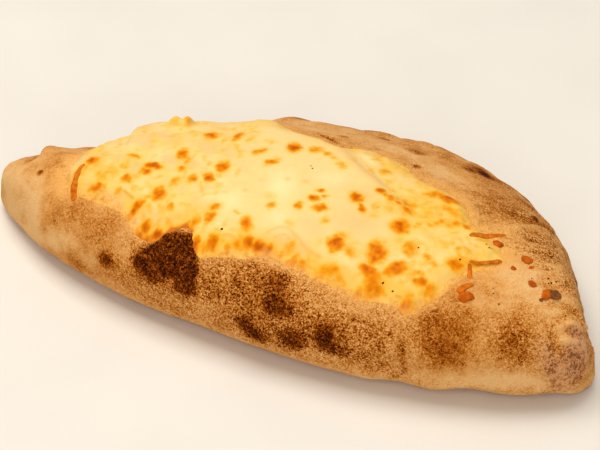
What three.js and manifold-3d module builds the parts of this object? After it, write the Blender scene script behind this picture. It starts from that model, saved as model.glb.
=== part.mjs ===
import * as THREE from "three";
import { mergeVertices } from "three/addons/utils/BufferGeometryUtils.js";
import Module from "manifold-3d";

// A calzone: a half moon of pizza dough folded over its filling, sealed along the back edge and
// baked with cheese melted over its top. Millimetres, +Z up, +X along the length, the folded edge
// towards -Y. It rests on its flat underside, with the origin under the middle of its box.
//
// The crust is a loft. A station t runs from 0 at the left tip to 1 at the right corner. At each
// station a share q runs from 0 at the folded edge to 1 at the sealed edge.

// Driving dimensions
const LENGTH = 306; // left tip to right corner
const WIDTH = 168; // folded edge to sealed edge
const CREST = 53; // table to the highest line of the crust
const CREST_SHARE = 0.4; // where the highest line lies, as a share across
const CREST_STATION = 0.55; // where along its length the crust is highest
const BULGE_SHARE = 0.34; // height of the front's widest line, as a share of the crest
const SEAL_MID = 9; // height of the sealed edge's widest line
const SEAL_HALF = 5; // half the thickness of the sealed edge
const SEAL_SHARE = 0.93; // where the sealed edge starts to round over, as a share across
const FRONT_UNDERCUT = 20; // width of the rounding under the folded edge
const BACK_UNDERCUT = 10; // width of the rounding under the sealed edge
const UNDERCUT_LIMIT = 0.35; // widest undercut, as a share of the width at a station
const TIP_HEIGHT = 7; // height of the two end points
const TIP_ROUND = 0.035; // how much of the length each end rounds over
const LEFT_END = 0.14; // crest at the left tip and at the right corner, as shares
const RIGHT_END = 0.26;
const LEFT_CLIMB = 2.1; // power of the crest's slow climb from the left tip
const RIGHT_CLIMB = 2.8; // powers of its steep climb from the right corner
const RIGHT_BLUNT = 0.75;
const FRONT_CLIMB = 2.6; // powers that round the front from its widest line to the crest
const FRONT_ROUND = 0.526;
const BACK_FALL = 1.9; // power of the fall from the crest to the sealed edge
const SEAL_LIMIT = 0.5; // highest the sealed edge stands, as a share of the crest
const SEAL_HALF_LIMIT = 0.3; // thickest half of the sealed edge, as a share of the crest

const PLEATS = 24; // pinches along the sealed edge
const PLEAT_DEPTH = 1.8; // how far a pinch sinks
const PLEAT_REACH = 0.34; // how far a pinch runs in from the sealed edge, as a share across
const PLEAT_FULL = 0.97; // where a pinch is at its deepest, as a share across
const PLEAT_DRIFT = 0.6; // how far the pinches drift from an even spacing, and how often
const PLEAT_DRIFT_WAVES = 9;
const LUMP = 1.1; // swelling of the dough over its filling
// Waves that add up to the swelling
const LUMP_WAVES = [
  { along: 19, across: 5, shift: 0 },
  { along: 11, across: -9, shift: 2 },
  { along: 31, across: 0, shift: 1.5 },
];

const CHEESE_THICK = 4.5; // cheese over the crust, away from its edge
const CHEESE_LIP = 1.2; // thickness left at the cheese's edge
const CHEESE_SINK = 3; // how far the blank reaches below the crust before it is cut
const CHEESE_START = 0.262; // stations where the cheese starts and ends
const CHEESE_END = 0.757;
// Where the melted cheese stands thicker: a pool in the middle and a bank at the back left
const SWELLS = [
  { station: 0.55, share: 0.42, length: 0.17, reach: 0.3, height: 2.6 },
  { station: 0.37, share: 0.66, length: 0.07, reach: 0.24, height: 3.2 },
];
const CHEESE_END_ROUND = 6; // power that rounds the cheese's ends, seen from above
const CHEESE_TOP_ROUND = 0.6; // powers that thin the blank to its edge, above and below
const CHEESE_UNDER_ROUND = 0.3;
const GAP = 0.3; // room between the cheese and the crust

const CRUST_STATIONS = 96; // facets along and around the crust, four along each pleat
const CRUST_ROUND = 34;
const CHEESE_STATIONS = 44;
const CHEESE_ROUND = 22;

// Outlines seen from above, as shares of half the length and half the width
const FOLD_OUTLINE = [
  [-1, -0.3], [-0.976, -0.44], [-0.882, -0.61], [-0.706, -0.77], [-0.471, -0.9], [-0.17, -0.98],
  [0.157, -1], [0.458, -0.95], [0.706, -0.83], [0.876, -0.69], [0.967, -0.56], [1, -0.38],
];
const SEAL_OUTLINE = [
  [-1, -0.3], [-0.965, -0.16], [-0.86, -0.035], [-0.706, 0.21], [-0.484, 0.58], [-0.209, 0.87],
  [0.078, 1], [0.353, 0.95], [0.601, 0.71], [0.797, 0.31], [0.926, -0.155], [1, -0.38],
];
// Where the cheese's edges lie across the crust, from its left end to its right end
const CHEESE_FRONT_SHARES = [0.22, 0.16, 0.17, 0.12, 0.13, 0.15, 0.12, 0.1, 0.1, 0.22, 0.3];
const CHEESE_BACK_SHARES = [0.36, 0.62, 0.8, 0.77, 0.74, 0.69, 0.67, 0.61, 0.54, 0.46, 0.44];

// The outlines as curves
function outlineCurve(shares) {
  const points = shares.map(([x, y]) => new THREE.Vector3((x * LENGTH) / 2, (y * WIDTH) / 2, 0));
  return new THREE.CatmullRomCurve3(points, false, "catmullrom", 0.5);
}

const foldCurve = outlineCurve(FOLD_OUTLINE);
const sealCurve = outlineCurve(SEAL_OUTLINE);

const clamp = THREE.MathUtils.clamp;
const smoothstep = THREE.MathUtils.smoothstep;

// A share read off an evenly spaced list, smoothed between its entries
function along(list, share) {
  const points = list.map((value, index) => new THREE.Vector2(index, value));
  return new THREE.SplineCurve(points).getPoint(clamp(share, 0, 1)).y;
}

// How the crest rises from both ends: slowly from the thin left tip, fast from the blunt right end
function rise(t) {
  if (t < CREST_STATION) {
    const left = 1 - t / CREST_STATION;
    return LEFT_END + (1 - LEFT_END) * (1 - Math.pow(left, LEFT_CLIMB));
  }
  const right = (t - CREST_STATION) / (1 - CREST_STATION);
  return RIGHT_END + (1 - RIGHT_END) * Math.pow(1 - Math.pow(right, RIGHT_CLIMB), RIGHT_BLUNT);
}

// Draws a height in to the end points, so that both ends are round
function roundTip(t, z) {
  const inward = 1 - clamp(Math.min(t, 1 - t) / TIP_ROUND, 0, 1);
  return TIP_HEIGHT + (z - TIP_HEIGHT) * Math.sqrt(1 - inward * inward);
}

// The heights that shape the section at a station
function section(t) {
  const crest = CREST * rise(t);
  return {
    crest,
    bulge: crest * BULGE_SHARE,
    seal: Math.min(SEAL_MID, SEAL_LIMIT * crest),
    sealHalf: Math.min(SEAL_HALF, SEAL_HALF_LIMIT * crest),
  };
}

// Soft swellings of the dough, level at the edges
function lumps(t, q) {
  const waves = LUMP_WAVES.map((wave) => Math.sin(wave.along * t + wave.across * q + wave.shift));
  const sum = waves.reduce((total, wave) => total + wave, 0);
  return (LUMP / LUMP_WAVES.length) * sum * Math.sin(Math.PI * q) * Math.sin(Math.PI * t);
}

// Pinches that run in from the sealed edge
function pleats(t, q) {
  const drift = PLEAT_DRIFT * Math.sin(PLEAT_DRIFT_WAVES * t);
  const ridge = Math.abs(Math.sin(Math.PI * PLEATS * t + drift));
  const ends = Math.sin(Math.PI * t);
  const fade = smoothstep(q, 1 - PLEAT_REACH, PLEAT_FULL);
  return -PLEAT_DEPTH * (1 - ridge) * fade * Math.sqrt(ends);
}

// The crust's upper skin
function topHeight(t, q) {
  const { crest, bulge, seal, sealHalf } = section(t);
  if (q < CREST_SHARE) {
    const inward = Math.pow(1 - q / CREST_SHARE, FRONT_CLIMB);
    return bulge + (crest - bulge) * Math.pow(1 - inward, FRONT_ROUND) + lumps(t, q);
  }
  const outward = (q - CREST_SHARE) / (1 - CREST_SHARE);
  const round = clamp((q - SEAL_SHARE) / (1 - SEAL_SHARE), 0, 1);
  const edge = seal + sealHalf * Math.sqrt(1 - round * round);
  const dome = (crest - seal - sealHalf) * (1 - Math.pow(outward, BACK_FALL));
  const relief = (lumps(t, q) + pleats(t, q)) * Math.sqrt(1 - round * round);
  return edge + dome + relief;
}

// The flat underside, rounding up to both edges
function underHeight(t, q, width) {
  const { bulge, seal } = section(t);
  const front = Math.min(FRONT_UNDERCUT, UNDERCUT_LIMIT * width);
  const back = Math.min(BACK_UNDERCUT, UNDERCUT_LIMIT * width);
  const arc = (distance, reach) => {
    const left = 1 - clamp(distance / Math.max(reach, 1e-6), 0, 1);
    return 1 - Math.sqrt(1 - left * left);
  };
  return Math.max(bulge * arc(q * width, front), seal * arc((1 - q) * width, back));
}

// A point of the crust's skin
function crustPoint(t, q, onTop) {
  const fold = foldCurve.getPoint(t);
  const seal = sealCurve.getPoint(t);
  const point = fold.clone().lerp(seal, q);
  const height = onTop ? topHeight(t, q) : underHeight(t, q, fold.distanceTo(seal));
  point.z = roundTip(t, height);
  return point;
}

// A closed round blank with its poles along X. Each vertex is handed to shape as the share along,
// the share across, how far it is from the rim (0 to 1) and whether it is on the upper half.
function mouldedBlank(stations, round, shape) {
  const blank = new THREE.SphereGeometry(1, round, stations);
  blank.rotateZ(Math.PI / 2);
  blank.deleteAttribute("normal");
  blank.deleteAttribute("uv");
  const merged = mergeVertices(blank, 1e-5);
  const position = merged.attributes.position;
  const vertex = new THREE.Vector3();
  for (let i = 0; i < position.count; i += 1) {
    vertex.fromBufferAttribute(position, i);
    const girth = Math.hypot(vertex.y, vertex.z);
    const across = girth > 1e-4 ? vertex.y / girth : 0;
    const lift = girth > 1e-4 ? Math.abs(vertex.z) / girth : 1;
    const station = Math.acos(clamp(-vertex.x, -1, 1)) / Math.PI;
    const moved = shape(station, (1 + across) / 2, lift, vertex.z >= 0);
    position.setXYZ(i, moved.x, moved.y, moved.z);
  }
  return merged;
}

// The crust, grown upwards by a gap where it is used to cut the cheese
function crustGeometry(grow) {
  return mouldedBlank(CRUST_STATIONS, CRUST_ROUND, (t, q, lift, onTop) => {
    const point = crustPoint(t, q, onTop);
    point.z += onTop ? grow : 0;
    return point;
  });
}

// Extra cheese over its even layer
function swelling(t, q) {
  return SWELLS.reduce((sum, { station, share, length, reach, height }) => {
    const squared = ((t - station) / length) ** 2 + ((q - share) / reach) ** 2;
    return sum + height * Math.exp(-squared);
  }, 0);
}

// The cheese before it is cut: it follows the crust and reaches below its skin
function cheeseBlank() {
  return mouldedBlank(CHEESE_STATIONS, CHEESE_ROUND, (share, across, lift, onTop) => {
    const t = CHEESE_START + (CHEESE_END - CHEESE_START) * share;
    const front = along(CHEESE_FRONT_SHARES, share);
    const back = along(CHEESE_BACK_SHARES, share);
    const close = Math.sqrt(1 - Math.pow(Math.abs(2 * share - 1), CHEESE_END_ROUND));
    const q = (front + back) / 2 + (back - front) * (across - 0.5) * close;
    const point = crustPoint(t, q, true);
    const above = (CHEESE_THICK - CHEESE_LIP + swelling(t, q)) * Math.pow(lift, CHEESE_TOP_ROUND) * close;
    const below = (CHEESE_LIP + CHEESE_SINK) * Math.pow(lift, CHEESE_UNDER_ROUND);
    point.z += CHEESE_LIP + (onTop ? above : -below);
    return point;
  });
}

// Solids for the cut
const wasm = await Module();
wasm.setup();

function toSolid(geometry) {
  const merged = mergeVertices(geometry, 1e-4);
  return new wasm.Manifold(
    new wasm.Mesh({
      numProp: 3,
      vertProperties: new Float32Array(merged.attributes.position.array),
      triVerts: new Uint32Array(merged.index.array),
    }),
  );
}

function toGeometry(solid) {
  const mesh = solid.getMesh();
  const geometry = new THREE.BufferGeometry();
  geometry.setAttribute("position", new THREE.BufferAttribute(mesh.vertProperties, 3));
  geometry.setIndex(new THREE.BufferAttribute(mesh.triVerts, 1));
  return geometry;
}

function cheeseGeometry() {
  return toGeometry(toSolid(cheeseBlank()).subtract(toSolid(crustGeometry(GAP))));
}

// A named, coloured mesh
function piece(name, geometry, color, roughness) {
  geometry.computeVertexNormals();
  const material = new THREE.MeshStandardMaterial({ color, roughness, metalness: 0 });
  const mesh = new THREE.Mesh(geometry, material);
  mesh.name = name;
  return mesh;
}

const calzone = new THREE.Group();
calzone.add(piece("crust", crustGeometry(0), 0xc8935a, 0.85));
calzone.add(piece("cheese", cheeseGeometry(), 0xf6d890, 0.4));

export default calzone;
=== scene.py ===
"""A baked calzone: folded dough, the cheese melted over it, and the browned scraps on top.

Shapes are worked out in millimetres in the model's own frame: +Z up, +X along the length and the
folded edge towards -Y. Each mesh is turned to metres as its last step, with its object left at the
origin. Surface patterns read Object coordinates and the pieces' own vertex attributes.
"""

import logging
import math
import random
from dataclasses import dataclass, field
from enum import Enum
from typing import Any, Callable, Sequence

import bmesh
import bpy
import numpy as np
from mathutils import Matrix, Vector, noise
from mathutils.bvhtree import BVHTree


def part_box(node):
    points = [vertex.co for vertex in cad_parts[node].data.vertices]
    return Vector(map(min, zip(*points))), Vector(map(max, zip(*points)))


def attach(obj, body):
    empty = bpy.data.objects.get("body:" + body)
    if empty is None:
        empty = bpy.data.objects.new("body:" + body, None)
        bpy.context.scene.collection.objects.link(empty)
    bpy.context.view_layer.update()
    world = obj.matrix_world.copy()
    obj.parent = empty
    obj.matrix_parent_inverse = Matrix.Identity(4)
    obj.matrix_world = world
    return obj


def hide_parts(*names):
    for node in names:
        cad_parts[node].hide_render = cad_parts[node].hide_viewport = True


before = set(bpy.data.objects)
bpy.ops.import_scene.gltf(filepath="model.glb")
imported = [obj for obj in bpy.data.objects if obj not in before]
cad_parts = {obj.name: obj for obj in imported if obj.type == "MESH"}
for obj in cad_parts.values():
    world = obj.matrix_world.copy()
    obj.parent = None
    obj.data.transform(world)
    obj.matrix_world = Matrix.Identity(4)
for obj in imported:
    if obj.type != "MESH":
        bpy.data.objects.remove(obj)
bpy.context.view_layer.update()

LOG = logging.getLogger("calzone")
ROOT = "root"
MILLIMETRE = 0.001
SAMPLES = 2001

Rows = Sequence[Sequence[float]]
Span = tuple[float, float]
Colour = tuple[float, float, float, float]
Stops = tuple[tuple[float, Colour], ...]
# Layers of smooth noise, each as its height, the width of its lumps in millimetres and its seed
Layers = Sequence[tuple[float, float, float]]
Shape = Callable[[np.ndarray], np.ndarray]


# ---- Small measures


def paint(red: int, green: int, blue: int) -> Colour:
    """A colour given by its display values of 0 to 255, as the linear values that shaders take."""
    shares = [channel / 255 for channel in (red, green, blue)]
    linear = [s / 12.92 if s <= 0.04045 else ((s + 0.055) / 1.055) ** 2.4 for s in shares]
    return (linear[0], linear[1], linear[2], 1.0)


def smooth(low: float, high: float, value: np.ndarray) -> np.ndarray:
    """Rises from 0 at low to 1 at high, level at both ends."""
    share = np.clip((value - low) / (high - low), 0.0, 1.0)
    return share * share * (3.0 - 2.0 * share)


def window(rising: Span, falling: Span, value: np.ndarray) -> np.ndarray:
    """Rises from 0 to 1 over one span and falls back to 0 over another."""
    return smooth(*rising, value) * (1 - smooth(*falling, value))


def grain(points: np.ndarray, size: float, seed: float) -> np.ndarray:
    """Smooth noise from about -1 to 1.

    Args:
        points: places in millimetres, three to a row.
        size: the width of one lump in millimetres.
        seed: moves the pattern, so that two grains of one size differ.

    Returns:
        One value for each point.
    """
    places = points / size + np.array([seed, 1.7 * seed, -2.3 * seed])
    return np.fromiter((noise.noise(place) for place in places.tolist()), float, len(places))


def layered(points: np.ndarray, layers: Layers) -> np.ndarray:
    """Adds up layers of smooth noise."""
    return sum(height * grain(points, size, seed) for height, size, seed in layers)


def turned(points: np.ndarray, x: float, y: float, turn: float) -> tuple[np.ndarray, np.ndarray]:
    """How far each point lies lengthways and sideways of a place, on axes turned by some degrees."""
    angle = math.radians(turn)
    offset = points[:, :2] - [x, y]
    sideways = offset @ [-math.sin(angle), math.cos(angle)]
    return offset @ [math.cos(angle), math.sin(angle)], sideways


def soft_places(points: np.ndarray, rows: Rows) -> np.ndarray:
    """How strongly soft-edged places cover each point, seen from above.

    Args:
        points: the points in millimetres.
        rows: the places, each as x, y, length, width, turn in degrees and strength.

    Returns:
        One level for each point, from 0 to 1.
    """
    level = np.zeros(len(points))
    for x, y, length, width, turn, strength in rows:
        lengthways, sideways = turned(points, x, y, turn)
        reach = (lengthways / (length / 2)) ** 2 + (sideways / (width / 2)) ** 2
        level = np.maximum(level, strength * np.exp(-reach))
    return level


def swells(points: np.ndarray, rows: Rows) -> np.ndarray:
    """How far soft-edged swellings and hollows lift each point, with heights for strengths."""
    return sum(row[5] * soft_places(points, [(*row[:5], 1.0)]) for row in rows)


def spline(knots: Rows, share: np.ndarray) -> np.ndarray:
    """Reads a Catmull-Rom curve through evenly counted knots.

    Args:
        knots: the points that the curve passes through.
        share: how far along the curve to read it, from 0 to 1, counted in knots.

    Returns:
        One point for each share.
    """
    given = np.array(knots, float)
    padded = np.vstack([2 * given[0] - given[1], given, 2 * given[-1] - given[-2]])
    last = len(given) - 2
    place = np.clip(share, 0.0, 1.0) * (last + 1)
    index = np.minimum(place.astype(int), last)
    u = (place - index)[:, None]
    before, start, end, after = (padded[index + step] for step in range(4))
    return 0.5 * (
        2 * start
        + (end - before) * u
        + (2 * before - 5 * start + 4 * end - after) * u**2
        + (3 * start - before - 3 * end + after) * u**3
    )


def even_shares(points: np.ndarray, shares: np.ndarray, wanted: np.ndarray) -> np.ndarray:
    """Spreads shares so that steps along a line are of one length.

    Args:
        points: the line, sampled at shares.
        shares: the line's own shares, rising.
        wanted: lengths along the line to look up, from 0 to 1 of the whole.

    Returns:
        The line's own share at each wanted length.
    """
    steps = np.linalg.norm(np.diff(points, axis=0), axis=1)
    lengths = np.concatenate([[0.0], np.cumsum(steps)])
    return np.interp(wanted * lengths[-1], lengths, shares)


def corners(box: Sequence[Sequence[float]]) -> tuple[np.ndarray, np.ndarray]:
    """The low and the high corner of a box, in millimetres."""
    low, high = (np.array(corner) / MILLIMETRE for corner in box)
    return low, high


@dataclass(frozen=True)
class Line:
    """A line seen from above, drawn smoothly through a few knots in millimetres."""

    knots: Rows
    closed: bool = False
    pieces: int = 6
    least: float = 1e-9

    def points(self) -> np.ndarray:
        """The line as short straight stretches."""
        knots = list(self.knots) + ([self.knots[0]] if self.closed else [])
        count = (len(knots) - 1) * self.pieces + 1
        return spline(knots, np.linspace(0.0, 1.0, count))[:, :2]

    def distance(self, places: np.ndarray) -> np.ndarray:
        """How far each place is from the line, seen from above."""
        nearest = np.full(len(places), np.inf)
        line = self.points()
        for start, end in zip(line[:-1], line[1:]):
            reach = end - start
            along = (places[:, :2] - start) @ reach / max(float(reach @ reach), self.least)
            foot = start + np.clip(along, 0.0, 1.0)[:, None] * reach
            nearest = np.minimum(nearest, np.linalg.norm(places[:, :2] - foot, axis=1))
        return nearest

    def nearness(self, places: np.ndarray, width: float) -> np.ndarray:
        """How near each place is to the line, from 1 on it to almost 0 at twice the width."""
        return np.exp(-((self.distance(places) / width) ** 2))

    def inside(self, places: np.ndarray) -> np.ndarray:
        """Whether each place lies inside the closed line."""
        line = self.points()
        crossed = np.zeros(len(places), bool)
        for (x0, y0), (x1, y1) in zip(line[:-1], line[1:]):
            spans = (y0 > places[:, 1]) != (y1 > places[:, 1])
            rise = (y1 - y0) if abs(y1 - y0) > self.least else self.least
            crossed ^= spans & (places[:, 0] < (x1 - x0) * (places[:, 1] - y0) / rise + x0)
        return crossed

    def depth(self, places: np.ndarray) -> np.ndarray:
        """How far each place is inside the closed line; places outside it come out negative."""
        return np.where(self.inside(places), 1.0, -1.0) * self.distance(places)


# ---- Shader building


@dataclass(frozen=True)
class Value:
    """A number that varies over a surface, so that shader maths reads as arithmetic."""

    graph: "Graph"
    socket: bpy.types.NodeSocket

    def _maths(self, operation: str, first: Any, second: Any) -> "Value":
        """Joins two values, or a value and a number, by one Math node."""
        made = self.graph.node("ShaderNodeMath", {"operation": operation}, {0: first, 1: second})
        return Value(self.graph, made.outputs[0])

    def __add__(self, other: Any) -> "Value":
        """This value plus another."""
        return self._maths("ADD", self, other)

    def __radd__(self, other: Any) -> "Value":
        """A number plus this value."""
        return self._maths("ADD", other, self)

    def __sub__(self, other: Any) -> "Value":
        """This value less another."""
        return self._maths("SUBTRACT", self, other)

    def __mul__(self, other: Any) -> "Value":
        """This value times another."""
        return self._maths("MULTIPLY", self, other)

    def between(self, low: float, high: float) -> "Value":
        """Rises smoothly from 0 to 1 as this value goes from low to high."""
        settings = {"interpolation_type": "SMOOTHSTEP"}
        inputs = {"Value": self, "From Min": low, "From Max": high}
        made = self.graph.node("ShaderNodeMapRange", settings, inputs)
        return Value(self.graph, made.outputs[0])


class Graph:
    """One material's nodes."""

    # The colour sockets of a Mix node: its two inputs and its result
    MIX_UNDER, MIX_OVER, MIX_RESULT = 6, 7, 2
    NOISE_MIDDLE = 0.5
    NOISE_GAIN = 3.2

    def __init__(self, name: str) -> None:
        """Starts an empty material of that name."""
        self.material = bpy.data.materials.new(name)
        self.material.use_nodes = True
        self.tree = self.material.node_tree
        self.tree.nodes.clear()

    def node(self, kind: str, settings: dict[str, Any], inputs: dict[Any, Any]) -> bpy.types.Node:
        """Adds a node.

        Args:
            kind: the node's type.
            settings: what is set on the node itself, such as an operation or a ramp's stops.
            inputs: the value or link of each socket, by name or by number.

        Returns:
            The new node.
        """
        made = self.tree.nodes.new(kind)
        for name, setting in settings.items():
            if name == "stops":
                self._set_stops(made.color_ramp, setting)
            else:
                setattr(made, name, setting)
        for key, given in inputs.items():
            source = given.socket if isinstance(given, Value) else given
            if isinstance(source, bpy.types.NodeSocket):
                self.tree.links.new(source, made.inputs[key])
            else:
                made.inputs[key].default_value = source
        return made

    def _set_stops(self, ramp: bpy.types.ColorRamp, stops: Stops) -> None:
        """Gives a colour ramp its stops, in rising order."""
        while len(ramp.elements) < len(stops):
            ramp.elements.new(1.0)
        for element, (place, colour) in zip(ramp.elements, stops):
            element.position = place
            element.color = colour

    def channels(self, held: "Held") -> tuple[Value, Value, Value]:
        """The three numbers that a piece's vertices hold under a name."""
        settings = {"attribute_type": "GEOMETRY", "attribute_name": held.value}
        read = self.node("ShaderNodeAttribute", settings, {})
        parts = self.node("ShaderNodeSeparateXYZ", {}, {0: read.outputs["Vector"]})
        return tuple(Value(self, output) for output in parts.outputs)

    def mottle(self, size: float, detail: float = 2.0, rough: float = 0.6, shift: float = 0.0) -> Value:
        """Noise about zero, roughly from -1 to 1.

        Args:
            size: the width of its largest lumps in millimetres.
            detail: how many finer layers lie on them.
            rough: how strong the finer layers are.
            shift: moves the pattern, in metres.

        Returns:
            The noise as a value.
        """
        coordinates = self.node("ShaderNodeTexCoord", {}, {})
        inputs = {"Vector": coordinates.outputs["Object"], "Location": (shift, -shift, 2 * shift)}
        moved = self.node("ShaderNodeMapping", {}, inputs)
        inputs = {
            "Vector": moved.outputs[0],
            "Scale": 1 / (size * MILLIMETRE),
            "Detail": detail,
            "Roughness": rough,
        }
        made = self.node("ShaderNodeTexNoise", {}, inputs)
        return (Value(self, made.outputs[0]) - self.NOISE_MIDDLE) * self.NOISE_GAIN

    def ramp(self, value: Value, stops: Stops) -> bpy.types.NodeSocket:
        """A colour read off a ramp."""
        return self.node("ShaderNodeValToRGB", {"stops": stops}, {0: value}).outputs[0]

    def blend(self, under: Any, over: Any, share: Any) -> bpy.types.NodeSocket:
        """Lays one colour over another.

        Args:
            under: the colour below, as a colour or a socket.
            over: the colour laid on it.
            share: how much of it shows, from 0 to 1.

        Returns:
            The colour that results.
        """
        settings = {"data_type": "RGBA", "blend_type": "MIX", "clamp_factor": True}
        inputs = {0: share, self.MIX_UNDER: under, self.MIX_OVER: over}
        return self.node("ShaderNodeMix", settings, inputs).outputs[self.MIX_RESULT]

    def bump(self, height: Value, depth: float, below: Any = None) -> bpy.types.NodeSocket:
        """Fine relief.

        Args:
            height: the relief, where a change of 1 is the full depth.
            depth: that depth in millimetres.
            below: the normal of the relief that this one lies on, if any.

        Returns:
            The normal.
        """
        inputs = {"Strength": 1.0, "Distance": depth * MILLIMETRE, "Height": height}
        if below is not None:
            inputs["Normal"] = below
        return self.node("ShaderNodeBump", {}, inputs).outputs[0]

    def finish(self, inputs: dict[str, Any]) -> bpy.types.Material:
        """Ends the material in a Principled shader with those inputs."""
        shader = self.node("ShaderNodeBsdfPrincipled", {}, inputs)
        self.node("ShaderNodeOutputMaterial", {}, {"Surface": shader.outputs[0]})
        return self.material


# ---- Finishes


class Held(Enum):
    """The names under which pieces hold what their finish reads, three numbers to a vertex."""

    # The cheese's browning and peach places are partly painted warm shade.
    # The crust's baking also carries painted light and shade, and its greyness partly painted shadow.
    BAKE = "bake"  # crust: how far it has baked, greyness, oil soaked in
    MELT = "melt"  # cheese: browning, yellowness, olive tint
    TINT = "tint"  # cheese: paler places, peach places, where it thins out over the crust
    GRIT = "grit"  # crust: how strongly it is speckled, nothing, nothing


@dataclass(frozen=True)
class CrustFinish:
    """Baked dough: pale where it was sheltered, freckled brown, black where it charred."""

    stops: Stops = (
        (0.0, paint(231, 184, 124)),
        (0.18, paint(220, 162, 96)),
        (0.34, paint(203, 138, 68)),
        (0.5, paint(178, 105, 31)),
        (0.64, paint(148, 76, 11)),
        (0.78, paint(104, 43, 4)),
        (0.9, paint(70, 25, 2)),
        (1.0, paint(38, 12, 2)),
    )
    # The two greys colour grey patches that are partly painted shadow beside the right end's pleats.
    grey: Colour = paint(208, 152, 112)
    dark_grey: Colour = paint(138, 86, 56)
    oil: Colour = paint(244, 182, 100)
    speck: float = 0.7
    freckle: float = 1.4
    mottle: float = 3.6
    plain_grit: float = 0.29
    brown_grit: float = 0.39
    char_grit: float = 0.26
    freckle_share: float = 0.6
    mottle_share: float = 0.08
    grey_pivot: float = 0.34
    oil_unevenness: float = 0.24
    roughness: float = 0.82
    oil_gloss: float = 0.22
    dimple_depth: float = 0.25
    pore_depth: float = 0.16
    shine: float = 0.02

    def material(self) -> bpy.types.Material:
        """Builds the material."""
        graph = Graph("baked_crust")
        # The baking channel also carries painted light and shade, and the grey channel partly painted
        # shadow.
        baked, grey, oil = graph.channels(Held.BAKE)
        coarseness, _, _ = graph.channels(Held.GRIT)
        speck = graph.mottle(self.speck, rough=0.65)
        freckle = graph.mottle(self.freckle, shift=0.3)
        mottle = graph.mottle(self.mottle, 3.0, shift=0.7)
        gritty = self.plain_grit + baked.between(0.12, 0.5) * self.brown_grit
        gritty = (gritty - baked.between(0.6, 0.86) * self.char_grit) * coarseness
        level = baked + speck * gritty + freckle * gritty * self.freckle_share
        colour = graph.ramp(level + mottle * self.mottle_share, self.stops)
        grey_depth = speck * 1.1 + freckle * 1.2 + mottle * 1.1 + (baked - self.grey_pivot) * 1.7
        greyed = graph.blend(self.grey, self.dark_grey, grey_depth.between(-0.4, 0.7))
        colour = graph.blend(colour, greyed, grey * (0.8 + mottle * 0.3))
        uneven = 0.82 + mottle * 0.3 - speck * self.oil_unevenness - freckle * self.oil_unevenness
        colour = graph.blend(colour, self.oil, oil * uneven)
        rough = self.roughness + speck * 0.06 - oil * self.oil_gloss
        dimples = graph.bump(mottle * 0.5 + freckle * 0.4, self.dimple_depth)
        return graph.finish(
            {
                "Base Color": colour,
                "Roughness": rough,
                "Normal": graph.bump(speck, self.pore_depth, dimples),
                "Specular IOR Level": self.shine,
            }
        )


@dataclass(frozen=True)
class CheeseFinish:
    """Melted cheese: cream where it pooled, yellower where thin, with orange baked blisters."""

    cream: Colour = paint(240, 209, 142)
    yellow: Colour = paint(240, 192, 84)
    olive: Colour = paint(218, 158, 48)
    tan: Colour = paint(242, 182, 98)
    scorched: Colour = paint(214, 138, 60)
    stops: Stops = (
        (0.0, paint(242, 202, 100)),
        (0.3, paint(242, 188, 58)),
        (0.52, paint(238, 162, 18)),
        (0.76, paint(223, 126, 3)),
        (1.0, paint(190, 86, 0)),
    )
    pale: Colour = paint(246, 230, 176)
    # Peach also stands for painted warm shade along the pool's ridge and at its front.
    peach: Colour = paint(236, 190, 126)
    broad: float = 14.0
    patch: float = 4.5
    fine: float = 1.3
    roughness: float = 0.45
    browned_roughness: float = 0.12
    relief_depth: float = 0.16
    shine: float = 0.05
    glow: float = 0.2
    glow_radius: tuple[float, float, float] = (1.0, 0.55, 0.2)
    soak: float = 0.0022

    def material(self) -> bpy.types.Material:
        """Builds the material."""
        graph = Graph("melted_cheese")
        browned, yellow, olive = graph.channels(Held.MELT)
        pale, peach, thin = graph.channels(Held.TINT)
        broad = graph.mottle(self.broad, rough=0.5)
        patch = graph.mottle(self.patch, rough=0.55, shift=0.4)
        fine = graph.mottle(self.fine, shift=0.9)
        colour = graph.blend(self.cream, self.yellow, yellow + broad * 0.1 + patch * 0.1)
        colour = graph.blend(colour, self.pale, pale + patch * 0.08 * pale)
        colour = graph.blend(colour, self.peach, peach + patch * 0.1 * peach)
        colour = graph.blend(colour, self.olive, olive)
        level = browned + (patch * 0.05 + fine * 0.07) * browned.between(0.02, 0.35)
        toasted = graph.ramp(level, self.stops)
        colour = graph.blend(colour, toasted, level.between(-0.04, 0.66))
        crusty = graph.blend(self.tan, self.scorched, (fine * 0.8 + patch * 0.5).between(-0.6, 0.8))
        colour = graph.blend(colour, crusty, thin * (0.9 + patch * 0.3 + fine * 0.4))
        return graph.finish(
            {
                "Base Color": colour,
                "Roughness": self.roughness + patch * 0.05 + browned * self.browned_roughness,
                "Normal": graph.bump(patch * 0.35 + fine * 0.12, self.relief_depth),
                "Specular IOR Level": self.shine,
                "Subsurface Weight": self.glow,
                "Subsurface Radius": self.glow_radius,
                "Subsurface Scale": self.soak,
            }
        )


@dataclass(frozen=True)
class ScrapFinish:
    """Small browned scraps: a body colour and a darker one, mottled together."""

    name: str
    light: Colour
    dark: Colour
    size: float
    roughness: float
    relief_depth: float = 0.15
    shine: float = 0.06

    def material(self) -> bpy.types.Material:
        """Builds the material."""
        graph = Graph(self.name)
        broad = graph.mottle(self.size)
        fine = graph.mottle(self.size / 4, shift=0.5)
        colour = graph.blend(self.light, self.dark, (broad + fine * 0.5).between(-0.9, 1.1))
        return graph.finish(
            {
                "Base Color": colour,
                "Roughness": self.roughness + fine * 0.08,
                "Normal": graph.bump(broad * 0.5 + fine * 0.3, self.relief_depth),
                "Specular IOR Level": self.shine,
            }
        )


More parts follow.
